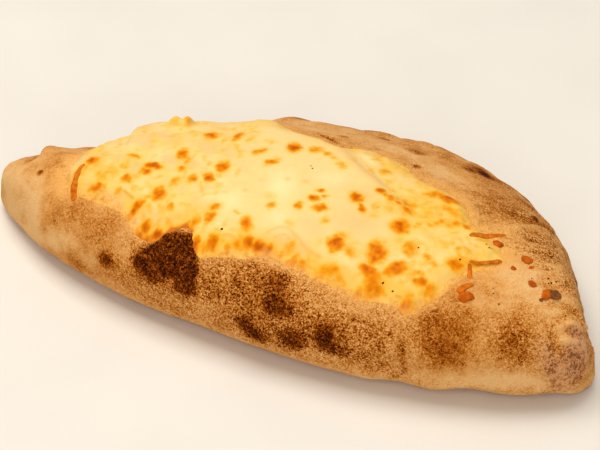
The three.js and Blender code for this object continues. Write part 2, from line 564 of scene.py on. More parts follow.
@dataclass(frozen=True)
class FloorFinish:
    """A plain pale tabletop."""

    light: Colour = paint(232, 229, 224)
    dark: Colour = paint(226, 223, 218)
    cloud: float = 90.0
    roughness: float = 0.8

    def material(self) -> bpy.types.Material:
        """Builds the material."""
        graph = Graph("pale_floor")
        share = graph.mottle(self.cloud, rough=0.55).between(-1.0, 1.0)
        colour = graph.blend(self.light, self.dark, share)
        return graph.finish({"Base Color": colour, "Roughness": self.roughness})


# ---- The dough's form


FOLD_OUTLINE: Rows = (
    (-1, -0.3), (-0.976, -0.44), (-0.882, -0.61), (-0.706, -0.77), (-0.471, -0.9), (-0.17, -0.98),
    (0.157, -1), (0.458, -0.95), (0.706, -0.83), (0.876, -0.69), (0.967, -0.56), (1, -0.38),
)
SEAL_OUTLINE: Rows = (
    (-1, -0.3), (-0.965, -0.16), (-0.86, -0.035), (-0.706, 0.21), (-0.484, 0.58), (-0.209, 0.87),
    (0.078, 1), (0.353, 0.95), (0.601, 0.71), (0.797, 0.31), (0.926, -0.155), (1, -0.38),
)
# Waves of the dough over its filling: how fast each runs along, how fast across, and its start
LUMP_WAVES: Rows = ((19, 5, 0), (11, -9, 2), (31, 0, 1.5))


@dataclass(frozen=True)
class Dough:
    """The folded dough as a loft.

    A station runs from 0 at the left tip to 1 at the right corner. At each station a share runs
    from 0 at the folded edge to 1 at the sealed edge.
    """

    length: float = 306.0
    width: float = 168.0
    crest: float = 53.0
    crest_share: float = 0.4
    crest_station: float = 0.55
    crest_powers: tuple[float, float, float] = (2.1, 2.8, 0.75)
    bulge_share: float = 0.34
    front_powers: tuple[float, float] = (2.6, 1 / 1.9)
    back_power: float = 1.9
    seal_mid: float = 9.0
    seal_half: float = 5.0
    seal_share: float = 0.93
    front_undercut: float = 20.0
    back_undercut: float = 10.0
    undercut_limit: float = 0.35
    tip_height: float = 7.0
    tip_round: float = 0.035
    left_end: float = 0.14
    right_end: float = 0.26
    pleats: int = 24
    pleat_depth: float = 1.9
    pleat_reach: float = 0.34
    lump: float = 1.1

    def fold(self, t: np.ndarray) -> np.ndarray:
        """The folded edge seen from above."""
        return spline(FOLD_OUTLINE, t) * [self.length / 2, self.width / 2]

    def seal(self, t: np.ndarray) -> np.ndarray:
        """The sealed edge seen from above."""
        return spline(SEAL_OUTLINE, t) * [self.length / 2, self.width / 2]

    def rise(self, t: np.ndarray) -> np.ndarray:
        """How high the crest is at a station, as a share: slow from the left, fast from the right."""
        left = np.clip(1 - t / self.crest_station, 0.0, 1.0)
        right = np.clip((t - self.crest_station) / (1 - self.crest_station), 0.0, 1.0)
        left_power, right_power, root = self.crest_powers
        low = self.left_end + (1 - self.left_end) * (1 - left**left_power)
        high = self.right_end + (1 - self.right_end) * (1 - right**right_power) ** root
        return np.where(t < self.crest_station, low, high)

    def round_tip(self, t: np.ndarray, height: np.ndarray) -> np.ndarray:
        """Draws heights in to the two end points."""
        inward = 1 - np.clip(np.minimum(t, 1 - t) / self.tip_round, 0.0, 1.0)
        return self.tip_height + (height - self.tip_height) * np.sqrt(1 - inward**2)

    def section(self, t: np.ndarray) -> tuple[np.ndarray, np.ndarray, np.ndarray, np.ndarray]:
        """The heights of the crest, the front's widest line, the seal and half the seal."""
        crest = self.crest * self.rise(t)
        seal = np.minimum(self.seal_mid, 0.5 * crest)
        half = np.minimum(self.seal_half, 0.3 * crest)
        return crest, crest * self.bulge_share, seal, half

    def lumps(self, t: np.ndarray, q: np.ndarray) -> np.ndarray:
        """Soft swellings over the filling, level at the edges."""
        waves = sum(np.sin(along * t + across * q + start) for along, across, start in LUMP_WAVES)
        return self.lump / len(LUMP_WAVES) * waves * np.sin(np.pi * q) * np.sin(np.pi * t)

    def ridges(self, t: np.ndarray) -> np.ndarray:
        """How high each station is between two pinches of the sealed edge, from 0 to 1."""
        return np.abs(np.sin(np.pi * self.pleats * t + 0.6 * np.sin(9 * t)))

    def pinches(self, t: np.ndarray, q: np.ndarray) -> np.ndarray:
        """Pinches that run in from the sealed edge."""
        fade = smooth(1 - self.pleat_reach, 0.97, q)
        ends = np.sqrt(np.clip(np.sin(np.pi * t), 0.0, 1.0))
        uneven = 0.55 + 0.3 * np.sin(23 * t + 1) + 0.15 * np.sin(57 * t)
        return -self.pleat_depth * uneven * (1 - self.ridges(t)) * fade * ends

    def top_height(self, t: np.ndarray, q: np.ndarray) -> np.ndarray:
        """The height of the upper skin, before the ends are rounded."""
        crest, bulge, seal, half = self.section(t)
        power, root = self.front_powers
        front = np.clip(1 - q / self.crest_share, 0.0, 1.0)
        front_height = bulge + (crest - bulge) * (1 - front**power) ** root
        outward = np.clip((q - self.crest_share) / (1 - self.crest_share), 0.0, 1.0)
        over = np.clip((q - self.seal_share) / (1 - self.seal_share), 0.0, 1.0)
        level = np.sqrt(1 - over**2)
        fall = 1 - outward**self.back_power
        lumps = self.lumps(t, q)
        back_height = seal + half * level + (crest - seal - half) * fall
        back_height += (lumps + self.pinches(t, q)) * level
        return np.where(q < self.crest_share, front_height + lumps, back_height)

    def under_height(self, t: np.ndarray, q: np.ndarray, width: np.ndarray) -> np.ndarray:
        """The height of the underside, which rounds up to both edges."""
        _, bulge, seal, _ = self.section(t)

        def arc(distance: np.ndarray, undercut: float) -> np.ndarray:
            """Rises from 0 at the undercut's depth to 1 at the edge, along a quarter circle."""
            reach = np.maximum(np.minimum(undercut, self.undercut_limit * width), 1e-6)
            return 1 - np.sqrt(1 - (1 - np.clip(distance / reach, 0.0, 1.0)) ** 2)

        front = bulge * arc(q * width, self.front_undercut)
        return np.maximum(front, seal * arc((1 - q) * width, self.back_undercut))

    def skin(self, t: np.ndarray, q: np.ndarray, on_top: np.ndarray) -> np.ndarray:
        """Points of the plain skin.

        Args:
            t: stations.
            q: shares across.
            on_top: whether each is on the upper skin or on the underside.

        Returns:
            Points in millimetres.
        """
        fold = self.fold(t)
        across = self.seal(t) - fold
        width = np.linalg.norm(across, axis=1)
        height = np.where(on_top, self.top_height(t, q), self.under_height(t, q, width))
        return np.column_stack([fold + across * q[:, None], self.round_tip(t, height)])

    def shares_at(self, plan: np.ndarray) -> tuple[np.ndarray, np.ndarray]:
        """The station and the share across of places seen from above, by repeated correction."""
        rounds, step, damping, least = 24, 1e-3, 0.8, 60.0
        t = np.clip((plan[:, 0] + self.length / 2) / self.length, 0.02, 0.98)
        q = np.full(len(t), 0.5)
        for _ in range(rounds):
            fold = self.fold(t)
            across = self.seal(t) - fold
            q = np.clip((plan[:, 1] - fold[:, 1]) / np.maximum(across[:, 1], 1e-3), 0.0, 1.0)
            here = fold[:, 0] + q * across[:, 0]
            ahead = self.fold(t + step)
            there = ahead[:, 0] + q * (self.seal(t + step) - ahead)[:, 0]
            slope = np.maximum((there - here) / step, least)
            t = np.clip(t + damping * (plan[:, 0] - here) / slope, 0.0, 1.0)
        return t, q

    def top_at(self, plan: np.ndarray) -> np.ndarray:
        """The upper skin's height over places seen from above."""
        t, q = self.shares_at(plan)
        return self.round_tip(t, self.top_height(t, q))


# ---- Blanks and marks


class Blank:
    """A closed round mesh with its poles along X, whose vertices are laid onto a shape.

    Each vertex has a place along (0 at the left pole, 1 at the right) and a place across (0 at the
    front rim, 1 at the back rim), and is on the upper or the lower side.
    """

    def __init__(self, name: str, stations: int, around: int, upper: int) -> None:
        """Makes the blank.

        Args:
            name: the piece's name.
            stations: how many steps it has from pole to pole.
            around: how many steps it has around.
            upper: how many of those are on its upper side.
        """
        self.name = name
        self.mesh = bpy.data.meshes.new(name)
        ball = bmesh.new()
        bmesh.ops.create_uvsphere(ball, u_segments=around, v_segments=stations, radius=1.0)
        turn = Matrix.Rotation(math.pi / 2, 3, "Y")
        bmesh.ops.rotate(ball, cent=(0, 0, 0), matrix=turn, verts=ball.verts)
        ball.to_mesh(self.mesh)
        ball.free()
        count = len(self.mesh.vertices)
        flat = np.empty(count * 3)
        self.mesh.vertices.foreach_get("co", flat)
        x, y, z = flat.reshape(count, 3).T
        self.along = np.arccos(np.clip(-x, -1.0, 1.0)) / math.pi
        steps = np.round(np.mod(np.arctan2(z, y) / (2 * math.pi), 1.0) * around, 3)
        steps = np.mod(steps, around)
        self.on_top = steps <= upper
        lower = (steps - upper) / (around - upper)
        self.across = np.where(self.on_top, 1 - steps / upper, lower)

    def lay(self, points: np.ndarray) -> None:
        """Moves the vertices to points in millimetres."""
        self.mesh.vertices.foreach_set("co", (points * MILLIMETRE).astype(np.float32).ravel())
        self.mesh.update()

    def normals(self) -> np.ndarray:
        """The outward normals at the vertices."""
        flat = np.empty(len(self.mesh.vertices) * 3, np.float32)
        self.mesh.vertex_normals.foreach_get("vector", flat)
        return flat.reshape(-1, 3).astype(float)

    def hold(self, name: Held, values: Sequence[np.ndarray]) -> None:
        """Gives each vertex three numbers under a name, for its finish to read."""
        attribute = self.mesh.attributes.new(name.value, "FLOAT_VECTOR", "POINT")
        attribute.data.foreach_set("vector", np.column_stack(values).astype(np.float32).ravel())

    def to_object(self, material: bpy.types.Material) -> bpy.types.Object:
        """Makes the smooth-shaded object."""
        return place_mesh(self.name, self.mesh, material)


def place_mesh(name: str, mesh: bpy.types.Mesh, material: bpy.types.Material) -> bpy.types.Object:
    """Puts a mesh in the scene as a smooth-shaded object at the origin.

    Args:
        name: the object's name.
        mesh: its mesh, in metres.
        material: its finish.

    Returns:
        The object.
    """
    mesh.shade_smooth()
    mesh.materials.append(material)
    made = bpy.data.objects.new(name, mesh)
    bpy.context.scene.collection.objects.link(made)
    return made


class Face(Enum):
    """The side of the crust that a mark is on. Walls place a mark by its height, not by its y."""

    TOP = "top"
    FRONT = "front"
    BACK = "back"
    UNDER = "under"


@dataclass
class Skin:
    """The crust's vertices while it is being shaped and coloured."""

    t: np.ndarray
    q: np.ndarray
    on_top: np.ndarray
    points: np.ndarray
    normals: np.ndarray

    def side(self, face: Face) -> np.ndarray:
        """Which vertices are on a side."""
        if face is Face.UNDER:
            return ~self.on_top
        if face is Face.FRONT:
            return self.on_top & (self.q < 0.4)
        if face is Face.BACK:
            return self.on_top & (self.q > 0.6)
        return self.on_top

    def cover(self, marks: Sequence["Mark"], wobble: np.ndarray) -> np.ndarray:
        """Lays patches over one another.

        Args:
            marks: the patches. One with a negative strength takes away.
            wobble: what makes their edges uneven, about zero.

        Returns:
            How strongly each vertex is covered.
        """
        covered = np.zeros(len(self.points))
        for mark in marks:
            room = 1.0 if mark.strength < 0 else np.clip(1 - covered, 0.0, 1.0)
            covered += mark.level(self, wobble) * room
        return covered


@dataclass(frozen=True)
class Mark:
    """A patch on the crust: half its length, half its height up the slope, and its strength."""

    face: Face
    x: float
    other: float
    half_length: float
    half_height: float
    strength: float
    soft: float = 0.8
    turn: float = 0.0

    def _middle(self, skin: Skin) -> int:
        """The vertex at the patch's middle."""
        wall = self.face in (Face.FRONT, Face.BACK)
        other = skin.points[:, 2 if wall else 1]
        miss = (skin.points[:, 0] - self.x) ** 2 + (other - self.other) ** 2
        return int(np.argmin(np.where(skin.side(self.face), miss, np.inf)))

    def _reach(self, skin: Skin) -> np.ndarray:
        """Each vertex's distance from the middle, where 1 is the patch's edge."""
        index = self._middle(skin)
        offset = skin.points - skin.points[index]
        normal = skin.normals[index]
        if self.face in (Face.FRONT, Face.BACK):
            axis = np.array([-normal[1], normal[0], 0.0]) / max(np.hypot(*normal[:2]), 1e-6)
        else:
            angle = math.radians(self.turn)
            axis = np.array([math.cos(angle), math.sin(angle), 0.0])
        lengthways = offset @ axis
        rest = np.maximum((offset**2).sum(axis=1) - lengthways**2, 0.0)
        return np.sqrt((lengthways / self.half_length) ** 2 + rest / self.half_height**2)

    def level(self, skin: Skin, wobble: np.ndarray | float = 0.0) -> np.ndarray:
        """How strongly the patch covers each vertex.

        Args:
            skin: the crust's vertices.
            wobble: what makes the patch's edge uneven, about zero.

        Returns:
            Its strength in the middle, falling to 0 past its edge.
        """
        reach = self._reach(skin) + wobble
        return self.strength * (1 - smooth(1 - self.soft, 1 + self.soft, reach))


def marks(face: Face, rows: Rows) -> list[Mark]:
    """Reads patches of one side from their rows."""
    return [Mark(face, *row) for row in rows]


# ---- The crust

# Where the front wall charred: x, height, half length, half height, strength and, where it isn't
# 0.8, softness
FRONT_CHAR: Rows = (
    (-34, 42, 7.5, 6, 0.7, 0.5), (-36, 38, 9, 7.5, 0.72, 0.5), (-42, 34, 9.5, 6.5, 0.66, 0.55),
    (-48.5, 32.5, 6, 4.4, 0.6, 0.6), (-43, 30, 7, 4.6, 0.56, 0.7), (-31, 36, 8, 7, 0.75, 0.45),
    (-26, 32.5, 5.5, 7, 0.8, 0.5), (-23.5, 30, 4.3, 4, 0.8, 0.6), (-42.5, 38.5, 4.6, 3.5, 0.6, 0.6),
    (-39.5, 42, 4.5, 3.2, 0.65, 0.6), (-46.5, 34.5, 4.5, 3, 0.5, 0.7), (-30, 43.5, 3.5, 4.5, 0.6, 0.5),
    (-28, 40, 4, 4.5, 0.7, 0.5), (-24.5, 36.5, 4, 4.5, 0.7, 0.5), (-40, 27, 9, 6, 0.2, 0.9),
    (-50, 36, 5, 4, 0.2, 0.9), (-24, 40, 5, 8, 0.3, 0.9), (-68.6, 26.8, 3.4, 4, 0.5, 0.7),
    (-66.5, 26, 5, 5, 0.14, 0.9), (16.8, 41, 4.5, 4.5, 0.42, 0.7), (18.6, 34.2, 5.5, 4.2, 0.7, 0.6),
    (24, 34.5, 4, 3.8, 0.5, 0.6), (7, 24, 4.2, 4, 0.68, 0.5), (10.6, 20.4, 4.2, 4.2, 0.74, 0.5),
    (14.6, 16.5, 3.6, 3, 0.55, 0.5), (29.8, 23, 6, 5.5, 0.65, 0.5), (43.6, 31, 4.6, 4.4, 0.45, 0.6),
    (43.6, 26.4, 4.6, 5, 0.62, 0.6), (49.8, 23.6, 5.5, 3.6, 0.5, 0.6), (-1.6, 37.3, 2.6, 2.6, 0.35, 0.6),
    (54.8, 36.7, 1.3, 1, 0.6, 0.5), (51.6, 30, 1.1, 1, 0.6, 0.5), (71.7, 34.4, 1.1, 1.2, 0.5, 0.5),
    (96, 30.5, 7, 3.6, 0.08, 0.9), (88.8, 41, 4, 3, 0.16, 0.9), (122, 36, 4, 6, 0.12, 0.9),
    (-35, 48, 6, 2.2, -0.14),
)
# Broad browning of the front wall, in the same order
FRONT_BROWN: Rows = (
    (18, 31, 46, 13, 0.36, 0.6), (-2, 42, 22, 5, 0.2, 0.6), (-102, 33.6, 4.6, 5, 0.4, 0.6),
    (-104.6, 28.6, 4.6, 3.6, 0.32, 0.6), (-80, 35, 14, 10, 0.2), (92, 37, 12, 11, 0.34, 0.7),
    (95, 29, 10, 8, 0.24), (16, 43, 6, 2.4, 0.2), (54, 25, 8, 6, 0.16), (121, 37, 7, 9, 0.34),
    (123, 29, 6, 6, 0.22), (66, 36, 14, 8, 0.18), (72, 24, 9, 9, 0.1), (14, 39, 10, 6, 0.2, 0.7),
    # (138, 26) and (137, 35) below are painted shadow beside the right end's pleats.
    (-60, 27, 16, 8, 0.08, 0.9), (138, 26, 4, 6, 0.14, 0.7), (137, 35, 2.4, 6, 0.16, 0.7),
    (50, 16, 40, 5, 0.14, 0.9), (-40, 22, 30, 6, 0.12, 0.9), (-11, 32, 7, 5, 0.12), (-8, 41, 10, 5, 0.12),
    (132, 33, 6, 9, 0.07), (103, 22, 12, 5, 0.14),
)
# Where the front wall is paler: paler dough, and painted light lifting the shade at its left end and bottom
FRONT_PALE: Rows = (
    (110, 14, 26, 5, -0.12), (-130, 26, 22, 12, -0.14), (-145, 20, 12, 16, -0.18), (34, 37, 9, 5, -0.07),
    (50, 38, 12, 5, -0.07), (64, 40, 9, 5, -0.1), (80, 28, 6, 8, -0.1), (-18, 23, 9, 7, -0.09),
    (-5, 25, 9, 7, -0.08), (132, 14, 12, 5, -0.1), (-124, 14, 12, 8, -0.16), (-106, 16, 12, 7, -0.14),
    (-84, 25, 14, 8, -0.05), (-112, 29, 10, 6, -0.14), (-97, 25, 8, 5, -0.1), (-56, 34, 6, 4, -0.08),
    (134, 43, 3.5, 1.6, -0.22, 0.7), (-34, 22, 10, 4, -0.08, 0.9), (112, 10, 22, 7, -0.13),
    (116, 21, 11, 7, -0.09), (130, 20, 10, 6, -0.1), (42, 15, 14, 3, -0.12),
)
# Browning and paler places seen on the upper side, placed by x and y, some with a turn
TOP_BROWN: Rows = (
    (120, -34, 12, 9, -0.2), (-8, 50, 40, 16, -0.18), (106, -46, 9, 6, -0.08),
    # (-136, -40) below is painted light that lifts the shade of the left tip.
    (-136, -40, 14, 12, -0.14, 0.9), (28, 44, 18, 8, -0.1), (54, 25, 18, 7, -0.14, 0.8, -40),
    (62, 26, 14, 5, -0.12, 0.8, -45), (104, -30, 12, 10, -0.1), (72, 44, 22, 10, 0.05, 0.8, -40),
    (98, 24, 12, 16, 0.05), (35, 45.3, 4.4, 4.6, 0.44, 0.6), (43.5, 24.4, 2, 2.4, 0.35, 0.6),
    (0.6, 37.2, 2.6, 2.6, 0.3, 0.6), (85, -7.5, 3, 2.2, 0.4, 0.6), (67, 52, 7, 5, 0.36),
    (69, 50.5, 4, 4.5, 0.42, 0.7), (66, 58, 8, 6, 0.3), (61.5, 46, 3.4, 3, 0.3, 0.7),
    (-111, -39.5, 3.4, 1.6, 0.3, 0.6), (-120, -44, 1.8, 1.5, 0.5, 0.6), (-113, -36, 2.2, 1.8, 0.25, 0.7),
    (81, 15.7, 6, 4, 0.12), (83, 25, 8, 5, 0.12), (91, 7, 10, 5, 0.06), (82.5, 1.2, 3.4, 3, 0.42, 0.7),
    (103.4, 21.2, 2.2, 2.8, 0.44, 0.6), (109.5, 16.5, 4, 3.4, 0.22), (98, 15, 8, 8, 0.18),
    (73, 16, 8, 7, 0.1), (90, 14, 8, 8, 0.08), (109, 24, 4, 4, 0.3, 0.7), (114, -4, 7, 6, 0.08),
    (122, -12, 5, 9, 0.1), (118, -14, 10, 9, -0.05), (106, -40, 8, 7, 0.1), (92, 40, 8, 6, 0.18),
    (117, -6, 8, 8, 0.06), (30, 50, 22, 6, 0.1), (-116, -17, 9, 7, -0.14), (-17, 36, 14, 8, -0.08),
    # (-5, 28) below is painted shadow: the dark gap where the cheese's back edge lifts off the crust.
    (33, 38, 9, 7, -0.16), (-5, 28, 12, 1.3, 0.5, 0.6, -24), (-104, -30, 8, 5, -0.1),
)
# The side that each of those groups is on, and how far its edges wobble
PLACED: tuple[tuple[Face, Rows, float], ...] = (
    (Face.FRONT, FRONT_CHAR, 0.6), (Face.FRONT, FRONT_BROWN, 1.0), (Face.FRONT, FRONT_PALE, 1.0),
    (Face.TOP, TOP_BROWN, 0.6),
)
# Dents and swellings of the outline in the same order, with a lift for a strength
DENTS: tuple[tuple[Face, Rows], ...] = (
    (Face.TOP, (
        (-142, -32, 9, 7, -3.0, 0.6), (-135, -29.5, 5.5, 6, -4.0, 0.6), (-128.5, -24, 4, 5, 1.8, 0.6),
        (-141, -21.5, 8, 6, -2.4, 0.6), (-136, -20, 4, 5, -0.8, 0.6), (-117, -9.5, 9, 7, -1.9, 0.7),
        (-110, -19, 10, 7, -3.6), (-104, -12, 8, 8, -2.6), (-89, 2, 9, 7, -1.4), (-109, -3, 8, 8, -3.0),
        (-103, 4, 7, 8, -2.4), (149, -31, 4, 4.4, -3.8, 0.5), (147, -26, 4, 5, -3.4, 0.6),
        (143.4, -20.5, 5, 6, -2.0, 0.7), (144.6, -27.6, 3.4, 3.6, -1.6, 0.7),
        (148.5, -36.5, 2.6, 2.6, -1.0, 0.7), (136, -7, 6, 10, -0.9), (127, 10, 7, 14, -0.9),
        (94, 50, 6, 8, -1.2, 0.7), (72, 66, 7, 6, -1.2, 0.7), (-26, 60, 16, 12, 2.2), (6, 62, 14, 9, -1.0),
        (33, 70, 7, 6, 1.8), (-41, 56.5, 8, 8, 1.8), (-19, 66, 8, 7, -0.9), (25, 73, 5, 5, -0.7),
        (-5, 28, 12, 1.3, -1.2, 0.6, -24),
    )),
    (Face.FRONT, (
        (-135, 14, 18, 12, -1.3), (100, 8, 34, 7, -0.8), (-45, 4, 40, 6, -0.8, 0.9),
        (10, 4, 40, 6, -0.8, 0.9), (70, 4, 30, 6, -1.0, 0.9),
    )),
    (Face.UNDER, (
        (-17, -79, 17, 7, -1.3), (20, -79.8, 15, 7, -0.9), (76, -72.9, 8, 6, -1.5),
        (109, -64.6, 13, 6, -2.0), (139, -51, 7, 5, -0.7),
    )),
)
# Broad swellings and hollows of the upper side: x, y, length, width, turn, height
SWELLS: Rows = (
    (-93, -16, 18, 30, 0, -3.2), (-70, -4, 42, 34, 0, -2.0), (-31, 27, 26, 40, 0, 2.6),
    (-48, 9, 22, 26, 0, -1.2), (71, -5, 46, 50, 0, 2.8), (-58, 23, 18, 14, 0, -1.2),
    (-48, 25, 10, 10, 0, -0.6), (-8, 27, 26, 26, 0, 2.0),
)
# Where oil ran out over the crust: x, y, length, width, turn, strength
OIL_PLACES: Rows = (
    (66, 28, 34, 14, -40, 0.25), (98, -6, 16, 14, -45, 0.55), (106, -24, 16, 12, 0, 0.5),
    (104, -38, 20, 9, 10, 0.4), (-107, -44, 14, 14, 0, 0.45), (112, -38, 12, 8, 0, 0.25),
)
# Straight folds of the right end: x and y of both ends, half width, lift, painted light as a change in
# baking
# Raised folds get a painted highlight, paler, and grooves painted shade, darker.
FOLDS: Rows = (
    (97, 17, 109, 27, 2.0, 0.7, -0.14), (101, 1, 111, 19, 2.2, 0.7, -0.12),
    (118, -20, 127, -13, 2.2, 0.7, -0.12), (137.5, -45, 141, -39.5, 1.8, 0.7, -0.14),
    (141, -39.5, 148, -37, 1.6, 0.8, -0.1), (140, -46.6, 148.6, -40.8, 1.4, 1.0, -0.22),
    (142, -49, 149.5, -43.6, 1.8, -0.5, 0.16), (103, 14, 110, 23, 1.6, -0.5, 0.16),
    (109, -3, 118, 6, 2.2, -0.4, 0.12), (114, -12, 123, -5, 1.8, -0.5, 0.14),
    (141, -42, 146, -40, 2.0, -0.7, 0.12), (137.5, -50, 141, -54, 2.6, -0.6, 0.1),
    (112, -7, 122, 1, 1.8, 0.5, -0.1), (119, -25, 130, -18, 1.8, 0.5, -0.1),
    (122, -30, 134, -24, 1.8, -0.5, 0.06), (126, -35, 138, -30, 2.0, 0.5, -0.1),
    (106, 2, 115, 12, 1.8, -0.5, 0.1), (131, -37, 142, -33, 1.8, -0.5, 0.1),
)
# Grey patches on the right end's lobe, in the order of the charred places; those beside its pleats are
# painted shadow
GREY_PATCHES: Rows = (
    (148, 24, 8, 9, 0.8, 0.5), (147, 33, 5, 4, 0.6, 0.5), (143.7, 36.6, 4, 3, 0.8, 0.5),
    (139.5, 25, 3.4, 6, 0.5, 0.6), (135, 31, 3.5, 8, 0.3, 0.7), (145, 15, 8, 6, 0.5, 0.7),
    (142, 21, 5, 7, 0.6, 0.6), (146, 30, 5, 5, 0.7, 0.6), (136.5, 28, 2.2, 6, 0.4, 0.6),
)


@dataclass
class Crust:
    """The baked shell of dough, with its rim, pinches, blistered char and creases."""

    dough: Dough
    cheese_edge: Line
    stations: int = 396
    around: int = 250
    upper: int = 176
    lumps: Layers = ((0.4, 17.0, 3.1), (0.16, 5.0, 7.7))
    wobble: Layers = ((0.22, 6.0, 1.3), (0.16, 2.4, 5.9))
    plain: float = 0.29
    patchy: Layers = ((0.05, 26.0, 2.2), (0.1, 9.0, 8.4), (0.09, 4.0, 6.6))
    tip_patchy: Layers = ((0.24, 11.0, 5.2),)
    under_baking: float = 0.1
    # Painted shade darkens the crease; the hems pale the bottom edge as less-baked dough and painted light.
    crease_shade: float = 0.26
    hem: float = 0.09
    right_hem: float = 0.16
    char_level: float = 0.85
    char_cover: float = 1.35
    charred: Layers = ((0.1, 5.0, 4.8), (0.07, 1.9, 7.4))
    char_swell: float = 0.7
    char_ripple: Layers = ((0.28, 2.6, 6.1),)
    grey_wobble: Layers = ((0.2, 4.0, 9.1),)
    crease: Line = Line(((77.5, 31), (79, 26), (80, 20), (81, 12)))
    crease_width: float = 1.1
    crease_depth: float = 0.8
    wrinkle_turn: float = 28.0
    wrinkle_stretch: float = 3.0
    wrinkle_size: float = 3.0
    wrinkle_height: float = 0.45
    wrinkle_shade: float = 0.1
    under_patches: int = 46
    back_patches: int = 24
    finish: CrustFinish = field(default_factory=CrustFinish)

    def relief(self, points: np.ndarray) -> np.ndarray:
        """How far the dough's lumps lift its plain upper skin, in millimetres."""
        return layered(points, self.lumps) + swells(points, SWELLS)

    def _shares(self, blank: Blank) -> tuple[np.ndarray, np.ndarray]:
        """Spreads the blank's vertices evenly over the dough.

        Args:
            blank: the crust's blank.

        Returns:
            The station and the share across of each vertex.
        """
        samples = np.linspace(0.0, 1.0, SAMPLES)
        spine = (self.dough.fold(samples) + self.dough.seal(samples)) / 2
        t = even_shares(spine, samples, blank.along)
        middle = np.full(len(samples), self.dough.crest_station)
        q = np.empty(len(t))
        for on_top in (True, False):
            line = self.dough.skin(middle, samples, np.full(len(samples), on_top))
            chosen = blank.on_top == on_top
            q[chosen] = even_shares(line, samples, blank.across[chosen])
        return t, q

    def _baking_and_shade(self, skin: Skin) -> tuple[np.ndarray, np.ndarray]:
        """How far each vertex has baked, with painted light and shade added in.

        Args:
            skin: the crust's vertices.

        Returns:
            The baking with its painted light and shade, from 0 to about 1, and the charred part of it.
        """
        x, height = skin.points[:, 0], skin.points[:, 2]
        wobble = layered(skin.points, self.wobble)
        char, brown, pale, top = (
            skin.cover(marks(face, rows), wobble * share) for face, rows, share in PLACED
        )
        back, under = (
            skin.cover(self._scattered(face, count), wobble)
            for face, count in ((Face.BACK, self.back_patches), (Face.UNDER, self.under_patches))
        )
        under_side = np.where(skin.on_top, 0.0, smooth(5, 0, height))
        base = self.plain + layered(skin.points, self.patchy)
        base += self.under_baking * under_side + (under + back) * (1 - char)
        base += layered(skin.points, self.tip_patchy) * smooth(-45, -85, x)
        hem = self.hem * smooth(15, 7, height)
        hem += self.right_hem * smooth(30, 80, x) * smooth(10, 6, height)
        # brown holds painted shadow beside the right end's pleats; pale and top hold painted light at the
        # left end.
        # top also holds a painted shadow at the cheese's back edge.
        baked = base + brown * (1 - base) + pale + top + self._pinch_tops(skin)
        # The crease gets painted shade; the hems pale the bottom edge, partly as painted light.
        baked += self.crease_shade * self._crease(skin) - hem * (1 - under_side)
        # Painted light and shade: fold crests and wrinkle tops paler, grooves and wrinkle hollows darker.
        baked += self._folds(skin)[1] - self.wrinkle_shade * self._wrinkles(skin)
        charred = self.char_level + layered(skin.points, self.charred)
        return baked + np.clip(char * self.char_cover, 0.0, 1.0) * (charred - baked), char

    def _scattered(self, face: Face, count: int) -> list[Mark]:
        """Seeded patches over a side that has no placed ones.

        Args:
            face: the side.
            count: how many patches.

        Returns:
            The patches.
        """
        draw = random.Random(f"patches {face.value}")
        others, halves = ((-60, 60), (3.0, 13.0)) if face is Face.UNDER else ((8, 34), (3.0, 8.0))
        made = []
        for _ in range(count):
            x = draw.uniform(-0.45, 0.45) * self.dough.length
            other = draw.uniform(*others)
            half = draw.uniform(*halves)
            strength = draw.uniform(0.08, 0.42)
            turn = draw.uniform(0, 180)
            made.append(Mark(face, x, other, half, half * draw.uniform(0.5, 0.9), strength, 0.7, turn))
        return made

    def _pinch_tops(self, skin: Skin) -> np.ndarray:
        """Extra baking on the raised folds between the pinches of the sealed edge."""
        near = smooth(0.72, 0.97, skin.q) * np.where(skin.on_top, 1.0, 0.6)
        return near * (0.14 * smooth(0.3, 0.9, self.dough.ridges(skin.t)) - 0.06)

    def _folds(self, skin: Skin) -> tuple[np.ndarray, np.ndarray]:
        """How far the straight folds lift each vertex, and their painted light and shade as baking."""
        lift = np.zeros(len(skin.points))
        shade = np.zeros(len(skin.points))
        for x0, y0, x1, y1, half, height, change in FOLDS:
            line = Line(((x0, y0), (x1, y1)), pieces=1)
            near = line.nearness(skin.points, half) * skin.on_top
            lift += height * near
            shade += change * near
        return lift, shade

    def _wrinkles(self, skin: Skin) -> np.ndarray:
        """How high each vertex is in the fine wrinkles that run out to the right end, about zero."""
        x, y, height = skin.points.T
        along, across = turned(skin.points, 0, 0, self.wrinkle_turn)
        stretched = np.column_stack([along / self.wrinkle_stretch, across, height * 0.6])
        right = smooth(84, 104, x) * smooth(-60, -40, y) * (1 + 0.8 * smooth(136, 146, x))
        return grain(stretched, self.wrinkle_size, 3.7) * right * skin.on_top

    def _crease(self, skin: Skin) -> np.ndarray:
        """How deep each vertex is in the crease of the front wall, from 0 to 1."""
        wall = skin.points[:, [0, 2]]
        near = 1 - smooth(0.2, 1.0, self.crease.distance(wall) / (2 * self.crease_width))
        return near * skin.side(Face.FRONT)

    def _oil(self, skin: Skin, char: np.ndarray) -> np.ndarray:
        """How far oil has soaked out of the cheese into each vertex that isn't charred."""
        x, y, _ = skin.points.T
        away = -self.cheese_edge.depth(skin.points)
        faded = np.maximum(smooth(40, 75, x) * smooth(-45, -20, y), smooth(-90, -104, x))
        spread = (2.4 + 2.4 * grain(skin.points, 7.0, 4.4)) * (1 + 2.2 * faded)
        soaked = (0.4 + 0.45 * faded) * (1 - smooth(-0.3, 1.2, away / spread))
        pooled = soft_places(skin.points, OIL_PLACES) * (1 + 0.5 * grain(skin.points, 5.0, 2.9))
        return np.clip(np.maximum(soaked, pooled), 0.0, 1.0) * skin.on_top * (1 - char)

